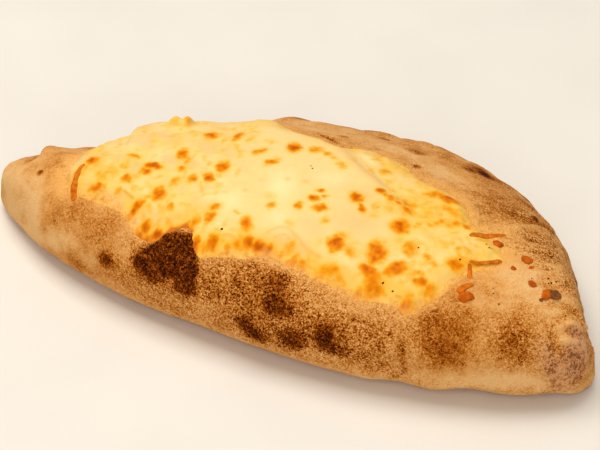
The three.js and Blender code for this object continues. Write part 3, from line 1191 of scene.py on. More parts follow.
    def _grit(self, skin: Skin) -> np.ndarray:
        """How strongly each vertex is speckled: least on the left and on the calm right front."""
        x = skin.points[:, 0]
        left = smooth(-30, -85, x)
        top = smooth(0.3, 0.5, skin.q) * (1 - smooth(80, 110, x)) * (1 - left)
        calm = smooth(56, 110, x) * skin.side(Face.FRONT)
        return 0.9 - 0.46 * left - 0.22 * top + 0.36 * smooth(96, 132, x) - 0.5 * calm

    def _lift(self, skin: Skin, char: np.ndarray) -> np.ndarray:
        """How far each vertex stands out from the plain skin, in millimetres."""
        points = skin.points
        lift = layered(points, self.lumps) + swells(points, SWELLS) * skin.on_top
        lift += char * (self.char_swell + layered(points, self.char_ripple))
        lift += self._folds(skin)[0] - self.crease_depth * self._crease(skin)
        lift += self.wrinkle_height * self._wrinkles(skin)
        lift += sum(mark.level(skin) for face, rows in DENTS for mark in marks(face, rows))
        flat = ~skin.on_top & (points[:, 2] < 0.5)
        return np.where(flat, -np.abs(lift) * 0.8, lift)

    def build(self) -> bpy.types.Object:
        """Makes the crust.

        Returns:
            The finished piece.
        """
        blank = Blank("crust_shell", self.stations, self.around, self.upper)
        t, q = self._shares(blank)
        plain = self.dough.skin(t, q, blank.on_top)
        blank.lay(plain)
        skin = Skin(t, q, blank.on_top, plain, blank.normals())
        baked, char = self._baking_and_shade(skin)
        wobble = layered(plain, self.grey_wobble)
        grey = np.clip(skin.cover(marks(Face.FRONT, GREY_PATCHES), wobble), 0.0, 1.0)
        low, high = corners(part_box("crust"))
        blank.lay(np.clip(plain + skin.normals * self._lift(skin, char)[:, None], low, high))
        oil = self._oil(skin, np.clip(char * 1.5, 0.0, 1.0))
        none = np.zeros(len(t))
        blank.hold(Held.BAKE, (np.clip(baked, 0.0, 1.0), grey, oil))
        blank.hold(Held.GRIT, (self._grit(skin), none, none))
        piece = blank.to_object(self.finish.material())
        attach(piece, ROOT)
        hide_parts("crust")
        return piece


# ---- The cheese

CHEESE_FRONT: Rows = (
    (-110, -42.5), (-106, -50), (-99, -55.5), (-92, -56.5), (-85.5, -57), (-77, -57.8), (-68.5, -59.6),
    (-62, -63.6), (-56.5, -67.4), (-49.5, -69.3), (-44, -68.6), (-40.5, -65.6), (-37, -62.4), (-34, -59.8),
    (-32.2, -61.8), (-30.6, -65), (-28, -69), (-24.4, -71.4), (-20, -71), (-15.5, -68.8), (-7, -67),
    (-1.5, -66.2), (5.5, -62.6), (12, -62.4), (18, -64), (25, -64.4), (32, -66.4), (40, -66.6), (47.5, -67),
    (55.5, -67.8), (63.5, -66.2), (70.5, -65.4), (75, -67), (79, -65), (81.5, -61), (86, -57.6), (89, -52),
    (91, -47), (94, -42), (98, -37.5), (103, -32), (106, -25),
)
CHEESE_BACK: Rows = (
    (-110, -42.5), (-108, -34), (-105, -24), (-101, -10), (-96, 4), (-88, 16), (-78, 24), (-67, 29),
    (-57, 33), (-46, 34), (-38, 37), (-30, 35), (-22, 28), (-14, 26), (-5, 25), (4, 23), (12, 28), (22, 30),
    (33, 27), (42, 21), (50, 15), (62, 10), (72, 6), (80, 0), (86, -8), (93, -12), (100, -15), (106, -25),
)
# The smooth pool in the middle of the cheese
POOL_EDGE: Rows = (
    (-28, 17), (-14, 21), (1, 20), (17, 7), (27, -1), (35, -5), (41, -10), (49, -13), (57, -19), (58, -34),
    (54, -48), (46, -59), (22, -59), (6, -58), (-8, -57), (-20, -53), (-27, -44), (-28, -22),
)
# Its steep side, where it stands as a ridge over the thinner cheese behind it
POOL_RIDGE: Rows = ((-4, 21), (8, 15), (17, 7), (27, -1), (35, -5), (41, -9))
# Baked blisters: x, y, length, width, turn in degrees, strength
LEFT_BLISTERS: Rows = (
    (-76, -31, 8, 4, -15, 0.7), (-63, -35.5, 10, 4.5, 0, 1.0), (-65, -39.5, 6.5, 5, 0, 0.85),
    (-54.5, -23, 6, 9, 25, 0.85), (-49.5, -27, 4, 6, 20, 0.6), (-49.5, -33, 5, 5, 20, 0.7),
    (-77, -38.5, 6, 4, 0, 0.45), (-42, -37, 6.5, 6, 0, 0.75), (-35, -33.5, 5.5, 7, 10, 0.9),
    (-33, -24.7, 5.5, 8, 15, 0.85), (-39, -24.8, 3, 4, 0, 0.4), (-24, -26.3, 2.5, 6, 10, 0.45),
    (-50, -2.6, 8, 9, 40, 0.85), (-56.3, -5.8, 3.5, 4, 0, 0.45), (-42.3, -3.3, 4, 8, 0, 0.4),
    (-38, 1.5, 5, 10, 0, 0.75), (-32, 1.2, 4.5, 8, 0, 0.45), (-48.5, -41.5, 5.5, 8, -15, 0.55),
    (-72, -45, 6, 6, 0, 0.75), (-85, -45, 6.5, 4, 20, 0.45), (-84.5, -51, 8.5, 4, 15, 0.85),
    (-73, -51.5, 4.5, 4, 0, 0.55), (-52.4, -49.6, 7, 8, 20, 0.9), (-56.5, -52, 8, 3, 20, 0.5),
    (-60, -57.5, 9, 5.5, 50, 0.9), (-63, -60.5, 4.5, 4.5, 0, 0.8), (-52.2, -64, 6, 5.5, 40, 0.85),
    (-94, -38, 7, 6, 20, 0.95), (-96, -44, 6, 12, -10, 0.5), (-44.3, -54.5, 4.5, 4.5, 0, 0.65),
    (-38, -51, 7, 3, 25, 0.4), (-24.6, -49, 6.5, 3.5, 25, 0.75), (-24.7, -54, 5.5, 5.5, 0, 0.9),
    (-31, -57, 6.5, 5, 20, 0.65), (-42.5, -60, 4, 4, 0, 0.45), (-39.5, -62.8, 6, 4, 25, 0.9),
    (-45.4, -66, 8, 4.5, 25, 0.95), (-18.3, -63.5, 5.5, 6.5, 10, 0.85), (-11, -64, 3.5, 3.5, 0, 0.7),
    (-26, -67, 5, 10, 15, 1.0), (-65.5, 3, 4, 6, 0, 0.6), (-90, -40, 9, 5, 55, 0.45),
)
POOL_BLISTERS: Rows = (
    (-9.2, 2.1, 6.5, 8.5, 20, 1.0), (0, 6, 7, 7, 0, 0.7), (7, 4.5, 6, 5.5, -20, 0.6),
    (17, -1.5, 8, 6.5, -35, 0.55), (-22, -8, 9, 5, 60, 0.7), (-13.5, -13, 9, 5, 60, 0.7),
    (4, 5.5, 8, 4, 0, 0.45), (11, 2.5, 7, 5, -20, 0.45), (-21, 2.5, 6.5, 5, 0, 0.4),
    (20.5, -34, 7, 5, 20, 0.95), (15, -29.5, 5.5, 4.5, 0, 0.85), (16, -23.5, 5.5, 3, 10, 0.7),
    (19.5, -26.5, 4, 3.5, 0, 0.6), (10.5, -36, 4.5, 5, 0, 0.75), (-1, -40.3, 5, 5.5, 0, 0.65),
    (26, -40, 5, 4, 90, 0.5), (33, -22, 9.5, 6.5, -45, 1.0), (38, -27.5, 7, 3.5, -50, 0.85),
    (35.5, -50, 8.5, 8, 0, 1.0), (54, -48.6, 12, 9, 115, 0.88), (58, -31.2, 9, 9, 0, 0.95),
    (58.5, -31, 15, 14, 0, 0.34), (-6.6, -53.3, 6, 8.5, 20, 0.75), (-13, -49, 4, 2, 0, 0.5),
    (-2.4, -59.8, 7, 5, 0, 0.9), (2.6, -59.8, 7.5, 5, 0, 1.0), (6.6, -59.4, 5.5, 4.4, 0, 0.95),
    (13.5, -60, 4, 3.2, 0, 0.65), (-2, -63.5, 3.5, 2, 0, 0.7), (18.6, -62, 8, 4, 45, 0.85),
    (40.5, -13, 5, 4.5, 0, 1.0), (44, -15, 5, 4, -25, 0.65), (47, -16.5, 6, 4.5, -25, 0.8),
    (51, -18.5, 6, 4.5, -30, 0.7), (56.5, -20.5, 8, 4.5, -25, 0.7), (43.5, -24.5, 9, 5, 115, 0.45),
    (30, -60, 5, 3, 0, 0.25), (25, -53, 4, 3, 0, 0.25),
)
RIGHT_BLISTERS: Rows = (
    (63.5, -2.5, 12, 9, 10, 0.7), (69.5, -3, 9, 8, 0, 0.95), (73.5, -3, 6, 6, 0, 0.8),
    (62, -12, 8, 6, 0, 0.45), (74, -20, 22, 7, 20, 0.5), (20, 33, 4, 6, 0, 0.5), (66, -14, 6, 5, 0, 0.3),
    (52, -4.7, 6, 4, 0, 0.45), (35, 6, 8, 5.5, 100, 0.65), (64.5, -25.7, 5, 5, 0, 0.55),
    (69.5, -24.5, 5, 4, 0, 0.5), (72.5, -20.5, 7, 4.5, 10, 0.6), (79, -17, 9, 4, 30, 0.65),
    (84, -16.5, 5, 5, 0, 0.85), (66.8, -41, 9, 8, 115, 0.65), (74.8, -42, 6, 4, 0, 0.6),
    (87.6, -40.4, 8.5, 6, 20, 0.75), (95, -35, 6, 4.5, 0, 0.6), (65, -53, 12, 6, 45, 0.85),
    (74, -51, 9, 4, 15, 0.6), (54, -57, 9, 5, -15, 1.0), (77, -54, 7, 5, 0, 0.8),
    (82, -55.5, 9, 8, 0, 0.65), (52.7, -66, 4, 5, 0, 0.75), (37, -61.5, 13, 5.5, 12, 0.65),
    (62, -12, 16, 6, 0, 0.2), (78, -26, 5, 3, 0, 0.25), (62, 3, 8, 5, 0, 0.35),
)
# Hollow blisters and drops: x, y, length, width, turn, strength, share that is hollow
RING_BLISTERS: Rows = (
    (23.5, -62.5, 6, 5, 70, 0.85, 0.35), (58, -61.5, 9.5, 9.5, 0, 0.85, 0.15),
    (74.4, -63, 5, 4.6, 25, 1.0, 0.05), (75.2, -65.4, 4.4, 3.4, 0, 0.8, 0.3),
    (89, -33.5, 7.5, 8.5, 20, 0.75, 0.6),
)
# Small peaks of the flap at the back: x, y, length, width, turn, height
PEAKS: Rows = ((-66, 4, 4.6, 9, 0, 5.4), (-71.5, 2.5, 7, 9, 0, 5.4), (-97, -17, 14, 24, 10, 2.6))
# Paler places, then golden and peach ones: x, y, length, width, turn, strength
PALE_PLACES: Rows = (
    (-2, -27, 12, 22, 20, 0.7), (-20, -44, 16, 14, 0, 0.5), (-30, -44, 10, 8, 0, 0.4),
    (-19, -57, 10, 6, 0, 0.5), (-33, -33, 14, 10, 0, 0.6), (18, -13, 16, 10, 0, 0.5),
    (-62, -50, 12, 5, 0, 0.4), (8, -46, 16, 8, -20, 0.5), (44, -56, 14, 4, -20, 0.4),
    (25, 12, 16, 5, -35, 0.6), (-58, -28, 10, 8, 0, 0.3),
)
# Golden rows along the front edge, near y -60, also paint the shade of the cheese's front slope.
GOLDEN_PLACES: Rows = (
    (58, -15, 36, 28, 0, 0.5), (76, -12, 16, 10, 0, 0.42), (4, -60, 24, 9, 0, 0.6),
    (62, -40, 14, 14, 0, 0.34), (51, -24, 12, 10, 0, 0.44), (58, -14, 12, 12, 0, 0.36),
    (44, -51, 14, 10, 0, 0.5), (17, -57, 10, 9, 0, 0.44), (-7, -62, 13, 6, 0, 0.56),
    (64, -29, 11, 10, 0, 0.46), (66, -39, 10, 10, 0, 0.46), (73, -10, 12, 9, 0, 0.56),
    (91, -32, 12, 10, 0, 0.52), (78, -46, 12, 9, 0, 0.55), (-82, -44, 17, 12, 20, 0.5),
    (-4, -35, 9, 6, 0, 0.32), (12, -47, 9, 7, 0, 0.36), (60, -28, 8, 8, 0, 0.4), (50, -8, 10, 8, 0, 0.34),
    (-84, -44, 28, 18, 0, 0.42), (37, -46, 9, 8, 0, 0.44), (45, -30, 8, 7, 0, 0.34),
    (30, -52, 14, 8, 0, 0.3), (78, -38, 14, 10, 0, 0.2), (-14, -62, 20, 6, 0, 0.36),
)
# Peach places are partly painted warm shade, strongest at the pool's front at (18, -55).
PEACH_PLACES: Rows = (
    (40, -36, 26, 26, 0, 0.75), (22, -46, 18, 12, -20, 0.6), (14, 10, 24, 8, -35, 0.45),
    (26, -16, 12, 20, 10, 0.35), (50, -20, 10, 10, 0, 0.4), (18, -55, 16, 9, -15, 0.9),
    (52, -50, 26, 12, 10, 0.5), (-44, 0, 20, 8, 0, 0.3), (35, -20, 16, 16, 0, 0.8),
)
# Bent strands under the cheese's skin: knots, then width, height and olive tint
STRANDS: tuple[tuple[Rows, float, float, float], ...] = (
    (((4, -54), (7, -51), (12, -49.5), (17, -52), (23, -55.5), (31, -57.5)), 0.8, 0.3, 0.36),
    (((8, -55), (12, -52.8), (16, -54.5)), 0.6, 0.2, 0.3),
    (((-17.5, -61.5), (-13, -59.6), (-9, -59.8), (-5.5, -62)), 0.7, 0.3, 0.55),
    (((-70, -51), (-64, -53.5)), 0.5, 0.25, 0.8),
    (((-44, -38), (-36, -40), (-28, -37)), 0.8, 0.3, 0.1),
    (((69, -61.5), (72, -61.5), (74.5, -63.5)), 0.6, 0.3, 0.9),
    (((26, -61), (31, -62)), 0.5, 0.25, 0.7),
    (((38, -64), (44, -65), (50, -65.2), (56, -66)), 0.7, 0.3, 0.8),
    (((84, -34), (88, -32), (93, -33)), 1.6, 0.4, 0.0),
)
# Olive dots in the pool: x, y, length, width, turn, strength
OLIVE_PLACES: Rows = (
    (-1.6, -21.3, 3, 3, 0, 0.4), (6.8, -20.2, 4, 3.4, 0, 0.35), (-15.6, -36, 2.4, 2.4, 0, 0.35),
    (-12, -26.8, 3, 2.6, 0, 0.25), (-24, -40, 3, 2, 0, 0.3), (-60, -42, 3, 2, 0, 0.25),
)


@dataclass(frozen=True)
class Blister:
    """A browned bubble of cheese, seen from above."""

    x: float
    y: float
    length: float
    width: float
    turn: float
    strength: float
    hollow: float = 0.0

    def level(self, plan: np.ndarray) -> np.ndarray:
        """How browned each place is by this blister, from 0 to 1."""
        lengthways, sideways = turned(plan, self.x, self.y, self.turn)
        reach = np.hypot(lengthways / (self.length / 2), sideways / (self.width / 2))
        full = np.exp(-0.7 * reach**2.5)
        core = self.hollow * (1 - smooth(0.15, 0.85, reach))
        halo = 0.26 * (1 - smooth(0.8, 1 + 8 / self.width, reach))
        return self.strength * np.maximum(full - core, halo)


@dataclass(frozen=True)
class Melt:
    """The cheese's vertices while it is being shaped and coloured, one value or row for each."""

    plan: np.ndarray  # where it lies, seen from above
    base: np.ndarray  # the dough's upper skin under it
    inward: np.ndarray  # how far in it is from the cheese's edge
    frayed: np.ndarray  # the same, with the edge frayed
    pooled: np.ndarray  # how far it is in the smooth pool
    ridge: np.ndarray  # how near it is to the pool's ridge
    browned: np.ndarray  # how browned it is by blisters
    faded: np.ndarray  # how thin the cheese runs out there
    by_char: np.ndarray  # how near it is to the charred wall


@dataclass
class Cheese:
    """The melted cheese over the crust: a lumpy sheet with a smooth pool and baked blisters."""

    dough: Dough
    crust: Crust
    front: Line = Line(CHEESE_FRONT)
    back: Line = Line(CHEESE_BACK)
    pool: Line = Line(POOL_EDGE, closed=True)
    ridge: Line = Line(POOL_RIDGE)
    stations: int = 330
    around: int = 300
    upper: int = 240
    thick: float = 4.5
    lip: float = 1.0
    lip_round: float = 2.0
    fade_width: float = 9.0
    tuck: float = 1.0
    sink: float = 3.0
    feather: float = 7.0
    headroom: float = 0.02
    pool_height: float = 1.1
    bank: tuple[float, float, float, float, float] = (0.37, 0.66, 0.07, 0.24, 2.6)
    ridge_width: float = 2.8
    ridge_height: float = 0.9
    blister_height: float = 0.5
    blister_bend: float = 1.15
    edge_wander: float = 1.9
    least_faded: float = 0.65
    thinned: float = 0.45
    pool_calm: float = 0.75
    lumps: Layers = ((0.5, 9.0, 2.7), (0.28, 4.0, 9.2))
    waves: Layers = ((0.2, 16.0, 5.1),)
    ragged: Layers = ((0.6, 5.0, 6.6), (0.3, 2.2, 2.9))
    patches: Layers = ((1.0, 11.0, 7.3), (0.6, 5.0, 1.9))
    mottled: Layers = ((1.0, 6.0, 4.6), (0.8, 2.8, 8.1))
    frays: Layers = ((1.4, 2.4, 5.5), (0.9, 5.0, 1.7))
    bare_frays: Layers = ((2.6, 4.5, 9.9), (1.2, 2.0, 4.2))
    finish: CheeseFinish = field(default_factory=CheeseFinish)

    def _plan(self, blank: Blank) -> np.ndarray:
        """Where each vertex lies, seen from above."""
        samples = np.linspace(0.0, 1.0, SAMPLES)
        edges = []
        for seed, line in ((2.0, self.front), (6.0, self.back)):
            shares = even_shares(spline(line.knots, samples), samples, blank.along)
            edge = spline(line.knots, shares)
            flat = np.column_stack([edge, np.full(len(edge), seed)])
            wander = self.edge_wander * layered(flat, ((1.0, 5.0, seed), (0.6, 2.2, seed)))
            ends = np.sin(np.pi * blank.along)
            edges.append(edge + np.column_stack([0.3 * wander, wander]) * ends[:, None])
        across = (1 - np.cos(np.pi * blank.across)) / 2
        across = 0.5 * across + 0.5 * blank.across
        return edges[0] + (edges[1] - edges[0]) * across[:, None]

    def _browning(self, plan: np.ndarray, places: np.ndarray) -> np.ndarray:
        """How browned each vertex is, from 0 to 1."""
        broad, fine = (
            np.column_stack([grain(places, size, seed) for seed in seeds])
            for size, seeds in ((4.5, (1.1, 8.3)), (1.8, (3.3, 6.2)))
        )
        bent = plan + self.blister_bend * (broad + 0.4 * fine)
        level = np.zeros(len(plan))
        for row in (*LEFT_BLISTERS, *POOL_BLISTERS, *RIGHT_BLISTERS, *RING_BLISTERS):
            level = np.maximum(level, Blister(*row).level(bent))
        return np.clip(level * (1 + 0.35 * grain(places, 2.2, 5.7)), 0.0, 1.0)

    def _faded(self, plan: np.ndarray) -> np.ndarray:
        """Where the cheese thins out to nothing, at its right back and at its left end."""
        left = smooth(-60, -98, plan[:, 0])
        return np.maximum(np.maximum(self._right_back(plan), left), self.least_faded)

    def _right_back(self, plan: np.ndarray) -> np.ndarray:
        """The part at the right and back, where the cheese is thinnest and most golden."""
        return smooth(10, 50, plan[:, 0] + 0.8 * plan[:, 1]) * smooth(-40, -16, plan[:, 1])

    def _by_char(self, plan: np.ndarray) -> np.ndarray:
        """The front edge beside the charred wall, where the cheese scorched too."""
        return window((-60, -54), (-25, -19), plan[:, 0]) * smooth(-48, -56, plan[:, 1])

    def _flap(self, plan: np.ndarray) -> np.ndarray:
        """The thick flap at the back left, steep at its left end, with small peaks."""
        past = plan[:, 0] + 88 + 0.35 * (plan[:, 1] + 14)
        flap = 3.0 * window((0.0, 2.0), (4.0, 30.0), past) * smooth(-28, -16, plan[:, 1])
        return flap + swells(plan, PEAKS)

    def _strands(self, plan: np.ndarray) -> tuple[np.ndarray, np.ndarray]:
        """How far the strands lift each vertex, and how olive they and the dots tint it."""
        lift = np.zeros(len(plan))
        olive = soft_places(plan, OLIVE_PLACES)
        for knots, width, height, tint in STRANDS:
            near = Line(knots).nearness(plan, width)
            lift += height * near
            olive = np.maximum(olive, tint * near)
        return lift, olive

    def _thickness(self, melt: Melt) -> np.ndarray:
        """How thick the cheese stands over the dough, before its lumps."""
        t, q = self.dough.shares_at(melt.plan)
        station, share, length, reach, height = self.bank
        bank = height * np.exp(-(((t - station) / length) ** 2) - ((q - share) / reach) ** 2)
        full = self.thick - self.lip + bank + self.pool_height * melt.pooled
        thin = 1 - self.thinned * self._right_back(melt.plan) * (1 - melt.pooled)
        return (self.lip + full * (1 - np.exp(-melt.inward / self.feather))) * thin

    def _measure(self, blank: Blank) -> Melt:
        """Spreads the blank's vertices over the dough and takes their measures."""
        plan = self._plan(blank)
        base = np.column_stack([plan, self.dough.top_at(plan)])
        base[:, 2] += self.crust.relief(base)
        inward = np.minimum(self.front.distance(plan), self.back.distance(plan))
        inward[np.minimum(blank.across, 1 - blank.across) < 1e-6] = 0.0
        return Melt(
            plan=plan,
            base=base,
            inward=inward,
            frayed=inward + layered(base, self.frays),
            pooled=smooth(-3.0, 5.0, self.pool.depth(plan)),
            ridge=self.ridge.nearness(plan, self.ridge_width),
            browned=self._browning(plan, base),
            faded=self._faded(plan),
            by_char=self._by_char(plan),
        )

    def _laid(self, melt: Melt, strands: np.ndarray, on_top: np.ndarray) -> np.ndarray:
        """Where the vertices are once the cheese lies on the dough.

        Args:
            melt: their measures.
            strands: how far the strands lift each one.
            on_top: whether each is on the upper side.

        Returns:
            Points in millimetres.
        """
        base, inward, faded = melt.base, melt.inward, melt.faded
        lumps = (1 - self.pool_calm * melt.pooled) * layered(base, self.lumps)
        lumps += layered(base, self.waves) + strands + self._flap(melt.plan)
        lumps += self.ridge_height * melt.ridge + self.blister_height * melt.browned
        lumps *= smooth(0.5, 5.0, inward)
        lumps += layered(base, self.ragged) * window((0.0, 3.0), (6.0, 12.0), inward)
        steep = np.sqrt(1 - (1 - np.clip(inward / self.lip_round, 0.0, 1.0)) ** 2)
        rim = steep + (smooth(0.0, self.fade_width, inward) - steep) * faded
        tuck = self.tuck * (1 - 0.6 * faded)
        over = -tuck + rim * (tuck + self._thickness(melt)) + lumps
        under = -self.tuck - (self.sink - self.tuck) * smooth(0.0, 4.0, inward)
        points = base.copy()
        points[:, 2] += np.where(on_top, over, under)
        return points

    def _golden_and_shade(self, melt: Melt, behind: np.ndarray) -> np.ndarray:
        """How golden each vertex baked between the blisters, with painted shade along the front slope.

        Args:
            melt: the vertices' measures.
            behind: how far each is in the thin cheese at the right and back.

        Returns:
            The browning with that painted shade, from 0 to about 1.
        """
        plan = melt.plan
        mottled = layered(melt.base, self.mottled)
        golden = 0.4 * (1 - self.pool_calm * melt.pooled) * smooth(-0.35, 0.8, mottled)
        # Painted shade: a golden band along the front edge darkens the cheese's front slope.
        slope = 1 - smooth(4.0, 15.0, self.front.distance(plan))
        slope *= window((-40, -20), (76, 92), plan[:, 0])
        golden += 0.06 * behind + 0.16 * slope
        placed = soft_places(plan, GOLDEN_PLACES) * (1 + 0.5 * mottled)
        scorched = 0.98 * melt.by_char * (1 - smooth(1.0, 4.6, melt.frayed))
        return np.maximum(np.maximum(golden, placed), scorched)

    def _browned(self, melt: Melt) -> tuple[np.ndarray, np.ndarray]:
        """The browning, with painted shade on the front slope, and the yellowness of each vertex, from 0 to
        1.
        """
        pooled, inward = melt.pooled, melt.inward
        behind = self._right_back(melt.plan) * (1 - pooled)
        edge = melt.faded * (1 - smooth(1.0, 9.0, inward)) * 0.08
        shade = np.maximum(melt.browned, np.maximum(self._golden_and_shade(melt, behind), edge))
        yellow = 0.3 * (1 - pooled) + 0.5 * (1 - smooth(2.0, 16.0, inward)) + 0.1 * behind
        yellow += 0.45 * layered(melt.base, self.patches) * (1 - 0.8 * pooled)
        return np.clip(shade, 0.0, 1.0), np.clip(yellow, 0.0, 1.0)

    def _tints(self, melt: Melt) -> tuple[np.ndarray, np.ndarray, np.ndarray]:
        """How pale and how peach each vertex is, and how far the cheese thins out there."""
        x, y = melt.plan.T
        pink = 0.75 * smooth(-0.2, 0.5, grain(melt.base, 7.0, 3.7))
        pink *= smooth(-10, -50, x) * smooth(15, -25, y)
        # The ridge's share of peach is painted warm shade along the pool's steep side.
        peach = np.maximum(np.maximum(soft_places(melt.plan, PEACH_PLACES), pink), 0.6 * melt.ridge)
        wander = melt.inward + layered(melt.base, self.bare_frays)
        bare = (melt.faded - self.least_faded) / (1 - self.least_faded)
        bare *= (1 - smooth(1.5, 8.5, wander)) * (1 - 0.5 * smooth(4, 16, y))
        bare = np.maximum(bare, 0.9 * (1 - smooth(0.6, 4.6, melt.frayed)))
        left = smooth(-64, -84, x) * smooth(-40, -50, y)
        bare = np.maximum(bare, left * (1 - smooth(1.0, 7.5, wander)))
        return soft_places(melt.plan, PALE_PLACES), peach, bare * (1 - 0.8 * melt.by_char)

    def build(self) -> bpy.types.Object:
        """Makes the cheese.

        Returns:
            The finished piece.
        """
        blank = Blank("melted_cheese", self.stations, self.around, self.upper)
        melt = self._measure(blank)
        strands, olive = self._strands(melt.plan)
        points = self._laid(melt, strands, blank.on_top)
        _, high = corners(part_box("cheese"))
        LOG.info("cheese crest %.2f of %.2f", points[:, 2].max(), high[2])
        points[:, 2] = np.minimum(points[:, 2], high[2] - self.headroom)
        blank.lay(points)
        blank.hold(Held.MELT, (*self._browned(melt), olive))
        blank.hold(Held.TINT, self._tints(melt))
        piece = blank.to_object(self.finish.material())
        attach(piece, ROOT)
        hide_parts("cheese")
        return piece


# ---- Scraps on top

# Browned strings of cheese: knots, then the widths of the two ends
SHREDS: tuple[tuple[Rows, float, float], ...] = (
    (((-93.6, -57), (-95.6, -52.5), (-96.8, -48), (-97.2, -43.5), (-96.4, -40)), 4.8, 2.2),
    (((86.5, -22), (90, -17.5), (93.5, -14), (99.5, -8)), 3.4, 3.2),
    (((92, -35.4), (95.8, -33.6), (100.2, -30), (104.2, -26)), 2.6, 3.2),
    (((92.3, -36), (95.4, -42)), 2.6, 2.6),
    (((92.5, -50), (94, -47), (97.5, -43)), 3.8, 3.2),
)
# Drops browned on the crust, then scraps of herb: x, y, length, width, turn
DROPS: Rows = (
    (96.8, -50.3, 6.4, 5, 10), (98.6, -17.2, 5, 5, 0), (113.2, -19.6, 5.4, 5, 60),
    (116.6, -23, 3, 1.6, -40), (110, -28, 2.4, 2.4, 0), (120.2, -31.7, 4.2, 3.4, 20),
    (127.6, -33.8, 6.6, 4.6, 20),
)
SCRAPS: Rows = ((130.4, -32, 6.4, 5.6, 70), (126.5, -37.5, 1.8, 1.6, 0), (103, 22, 2, 1.8, 0))
# Dark flecks: x, y, length
FLECKS: Rows = (
    (-16.5, -58, 1.3), (4, -8, 0.8), (5.5, -9.5, 0.9), (70, -39.5, 0.9), (62, -59.5, 1.2), (67, -60.5, 1.0),
    (95, -22, 0.9), (97, -23.5, 1.1), (98, -23, 0.7), (88.5, -37, 1.0), (125, -24.5, 1.1), (127, -26, 1.2),
    (128.5, -24, 1.0), (126, -27, 0.8), (111, -47.5, 1.0), (107, -44, 0.8), (110.5, -9.5, 0.9),
    (124, -8, 0.8), (138, -38, 0.9), (106, -42, 0.6), (119, -29, 0.7), (123, -20, 0.7),
)


class Ground:
    """The finished surfaces that scraps are laid on."""

    # How high the search for a surface starts, in metres
    SKY = 0.2

    def __init__(self, pieces: Sequence[bpy.types.Object]) -> None:
        """Takes the pieces that are already made."""
        depsgraph = bpy.context.evaluated_depsgraph_get()
        self.trees = [BVHTree.FromObject(piece, depsgraph) for piece in pieces]

    def under(self, x: float, y: float) -> tuple[np.ndarray, np.ndarray]:
        """The highest surface point under a place in millimetres, and its normal."""
        best = None
        start = Vector((x * MILLIMETRE, y * MILLIMETRE, self.SKY))
        for tree in self.trees:
            hit, normal, _, _ = tree.ray_cast(start, Vector((0, 0, -1)))
            if hit is not None and (best is None or hit.z > best[0].z):
                best = (hit, normal)
        if best is None:
            raise ValueError(f"there is no surface under {x}, {y}")
        return np.array(best[0]) / MILLIMETRE, np.array(best[1])


class Pile:
    """One kind of scrap, gathered into one mesh."""

    def __init__(self, name: str) -> None:
        """Starts an empty mesh of that name."""
        self.name = name
        self.body = bmesh.new()

    def ball(self, steps: int, around: int, shape: Shape) -> None:
        """Adds a ball whose vertices are moved by a shape.

        Args:
            steps: how many steps it has from pole to pole, along X.
            around: how many steps it has around.
            shape: turns points of the unit ball into points in millimetres.
        """
        turn = Matrix.Rotation(math.pi / 2, 4, "Y")
        made = bmesh.ops.create_uvsphere(
            self.body, u_segments=around, v_segments=steps, radius=1.0, matrix=turn
        )
        added = made["verts"]
        moved = shape(np.array([vertex.co for vertex in added])) * MILLIMETRE
        for vertex, place in zip(added, moved):
            vertex.co = place

    def to_object(self, material: bpy.types.Material, slot: str) -> bpy.types.Object:
        """Makes the finished piece."""
        mesh = bpy.data.meshes.new(self.name)
        self.body.to_mesh(mesh)
        self.body.free()
        piece = place_mesh(self.name, mesh, material)
        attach(piece, ROOT)
        return piece


@dataclass
class Shreds:
    """Strings of cheese that baked brown where they lie across the edge."""

    ground: Ground
    steps: int = 40
    around: int = 14
    flatness: float = 0.34
    bed: float = 0.35
    look_ahead: float = 0.02
    rough: float = 0.22
    finish: ScrapFinish = ScrapFinish("browned_shred", paint(224, 128, 20), paint(170, 78, 6), 2.2, 0.5)

    def _string(self, knots: Rows, widths: Sequence[float], seed: float) -> Shape:
        """How one string's ball is drawn out along its knots.

        Args:
            knots: the string's route, seen from above.
            widths: its width towards its first knot and its last.
            seed: makes its unevenness its own.

        Returns:
            The function that moves the ball's points.
        """

        def shape(ball: np.ndarray) -> np.ndarray:
            """Moves the ball's points."""
            share = np.arccos(np.clip(-ball[:, 0], -1.0, 1.0)) / math.pi
            route = spline(knots, share)
            ahead = spline(knots, share + self.look_ahead) - spline(knots, share - self.look_ahead)
            ahead /= np.linalg.norm(ahead, axis=1)[:, None]
            side = np.column_stack([-ahead[:, 1], ahead[:, 0]])
            girth = np.maximum(np.hypot(ball[:, 1], ball[:, 2]), 1e-9)
            ends = (1 - np.abs(2 * share - 1) ** 5) ** 0.5
            uneven = 1 + self.rough * grain(np.column_stack([route, share * 0]), 2.5, seed)
            radius = (widths[0] + (widths[1] - widths[0]) * share) / 2 * ends * uneven
            plan = route + side * (ball[:, 1] / girth * radius)[:, None]
            centre = [self.ground.under(*place)[0][2] for place in route]
            lift = (ball[:, 2] / girth + 0.5) * radius * self.flatness
            return np.column_stack([plan, np.array(centre) + lift - self.bed])

        return shape

    def build(self) -> bpy.types.Object:
        """Makes the strings as one piece."""
        pile = Pile("browned_shreds")
        for seed, (knots, *widths) in enumerate(SHREDS, start=3):
            pile.ball(self.steps, self.around, self._string(knots, widths, seed))
        return pile.to_object(self.finish.material(), "cheese")


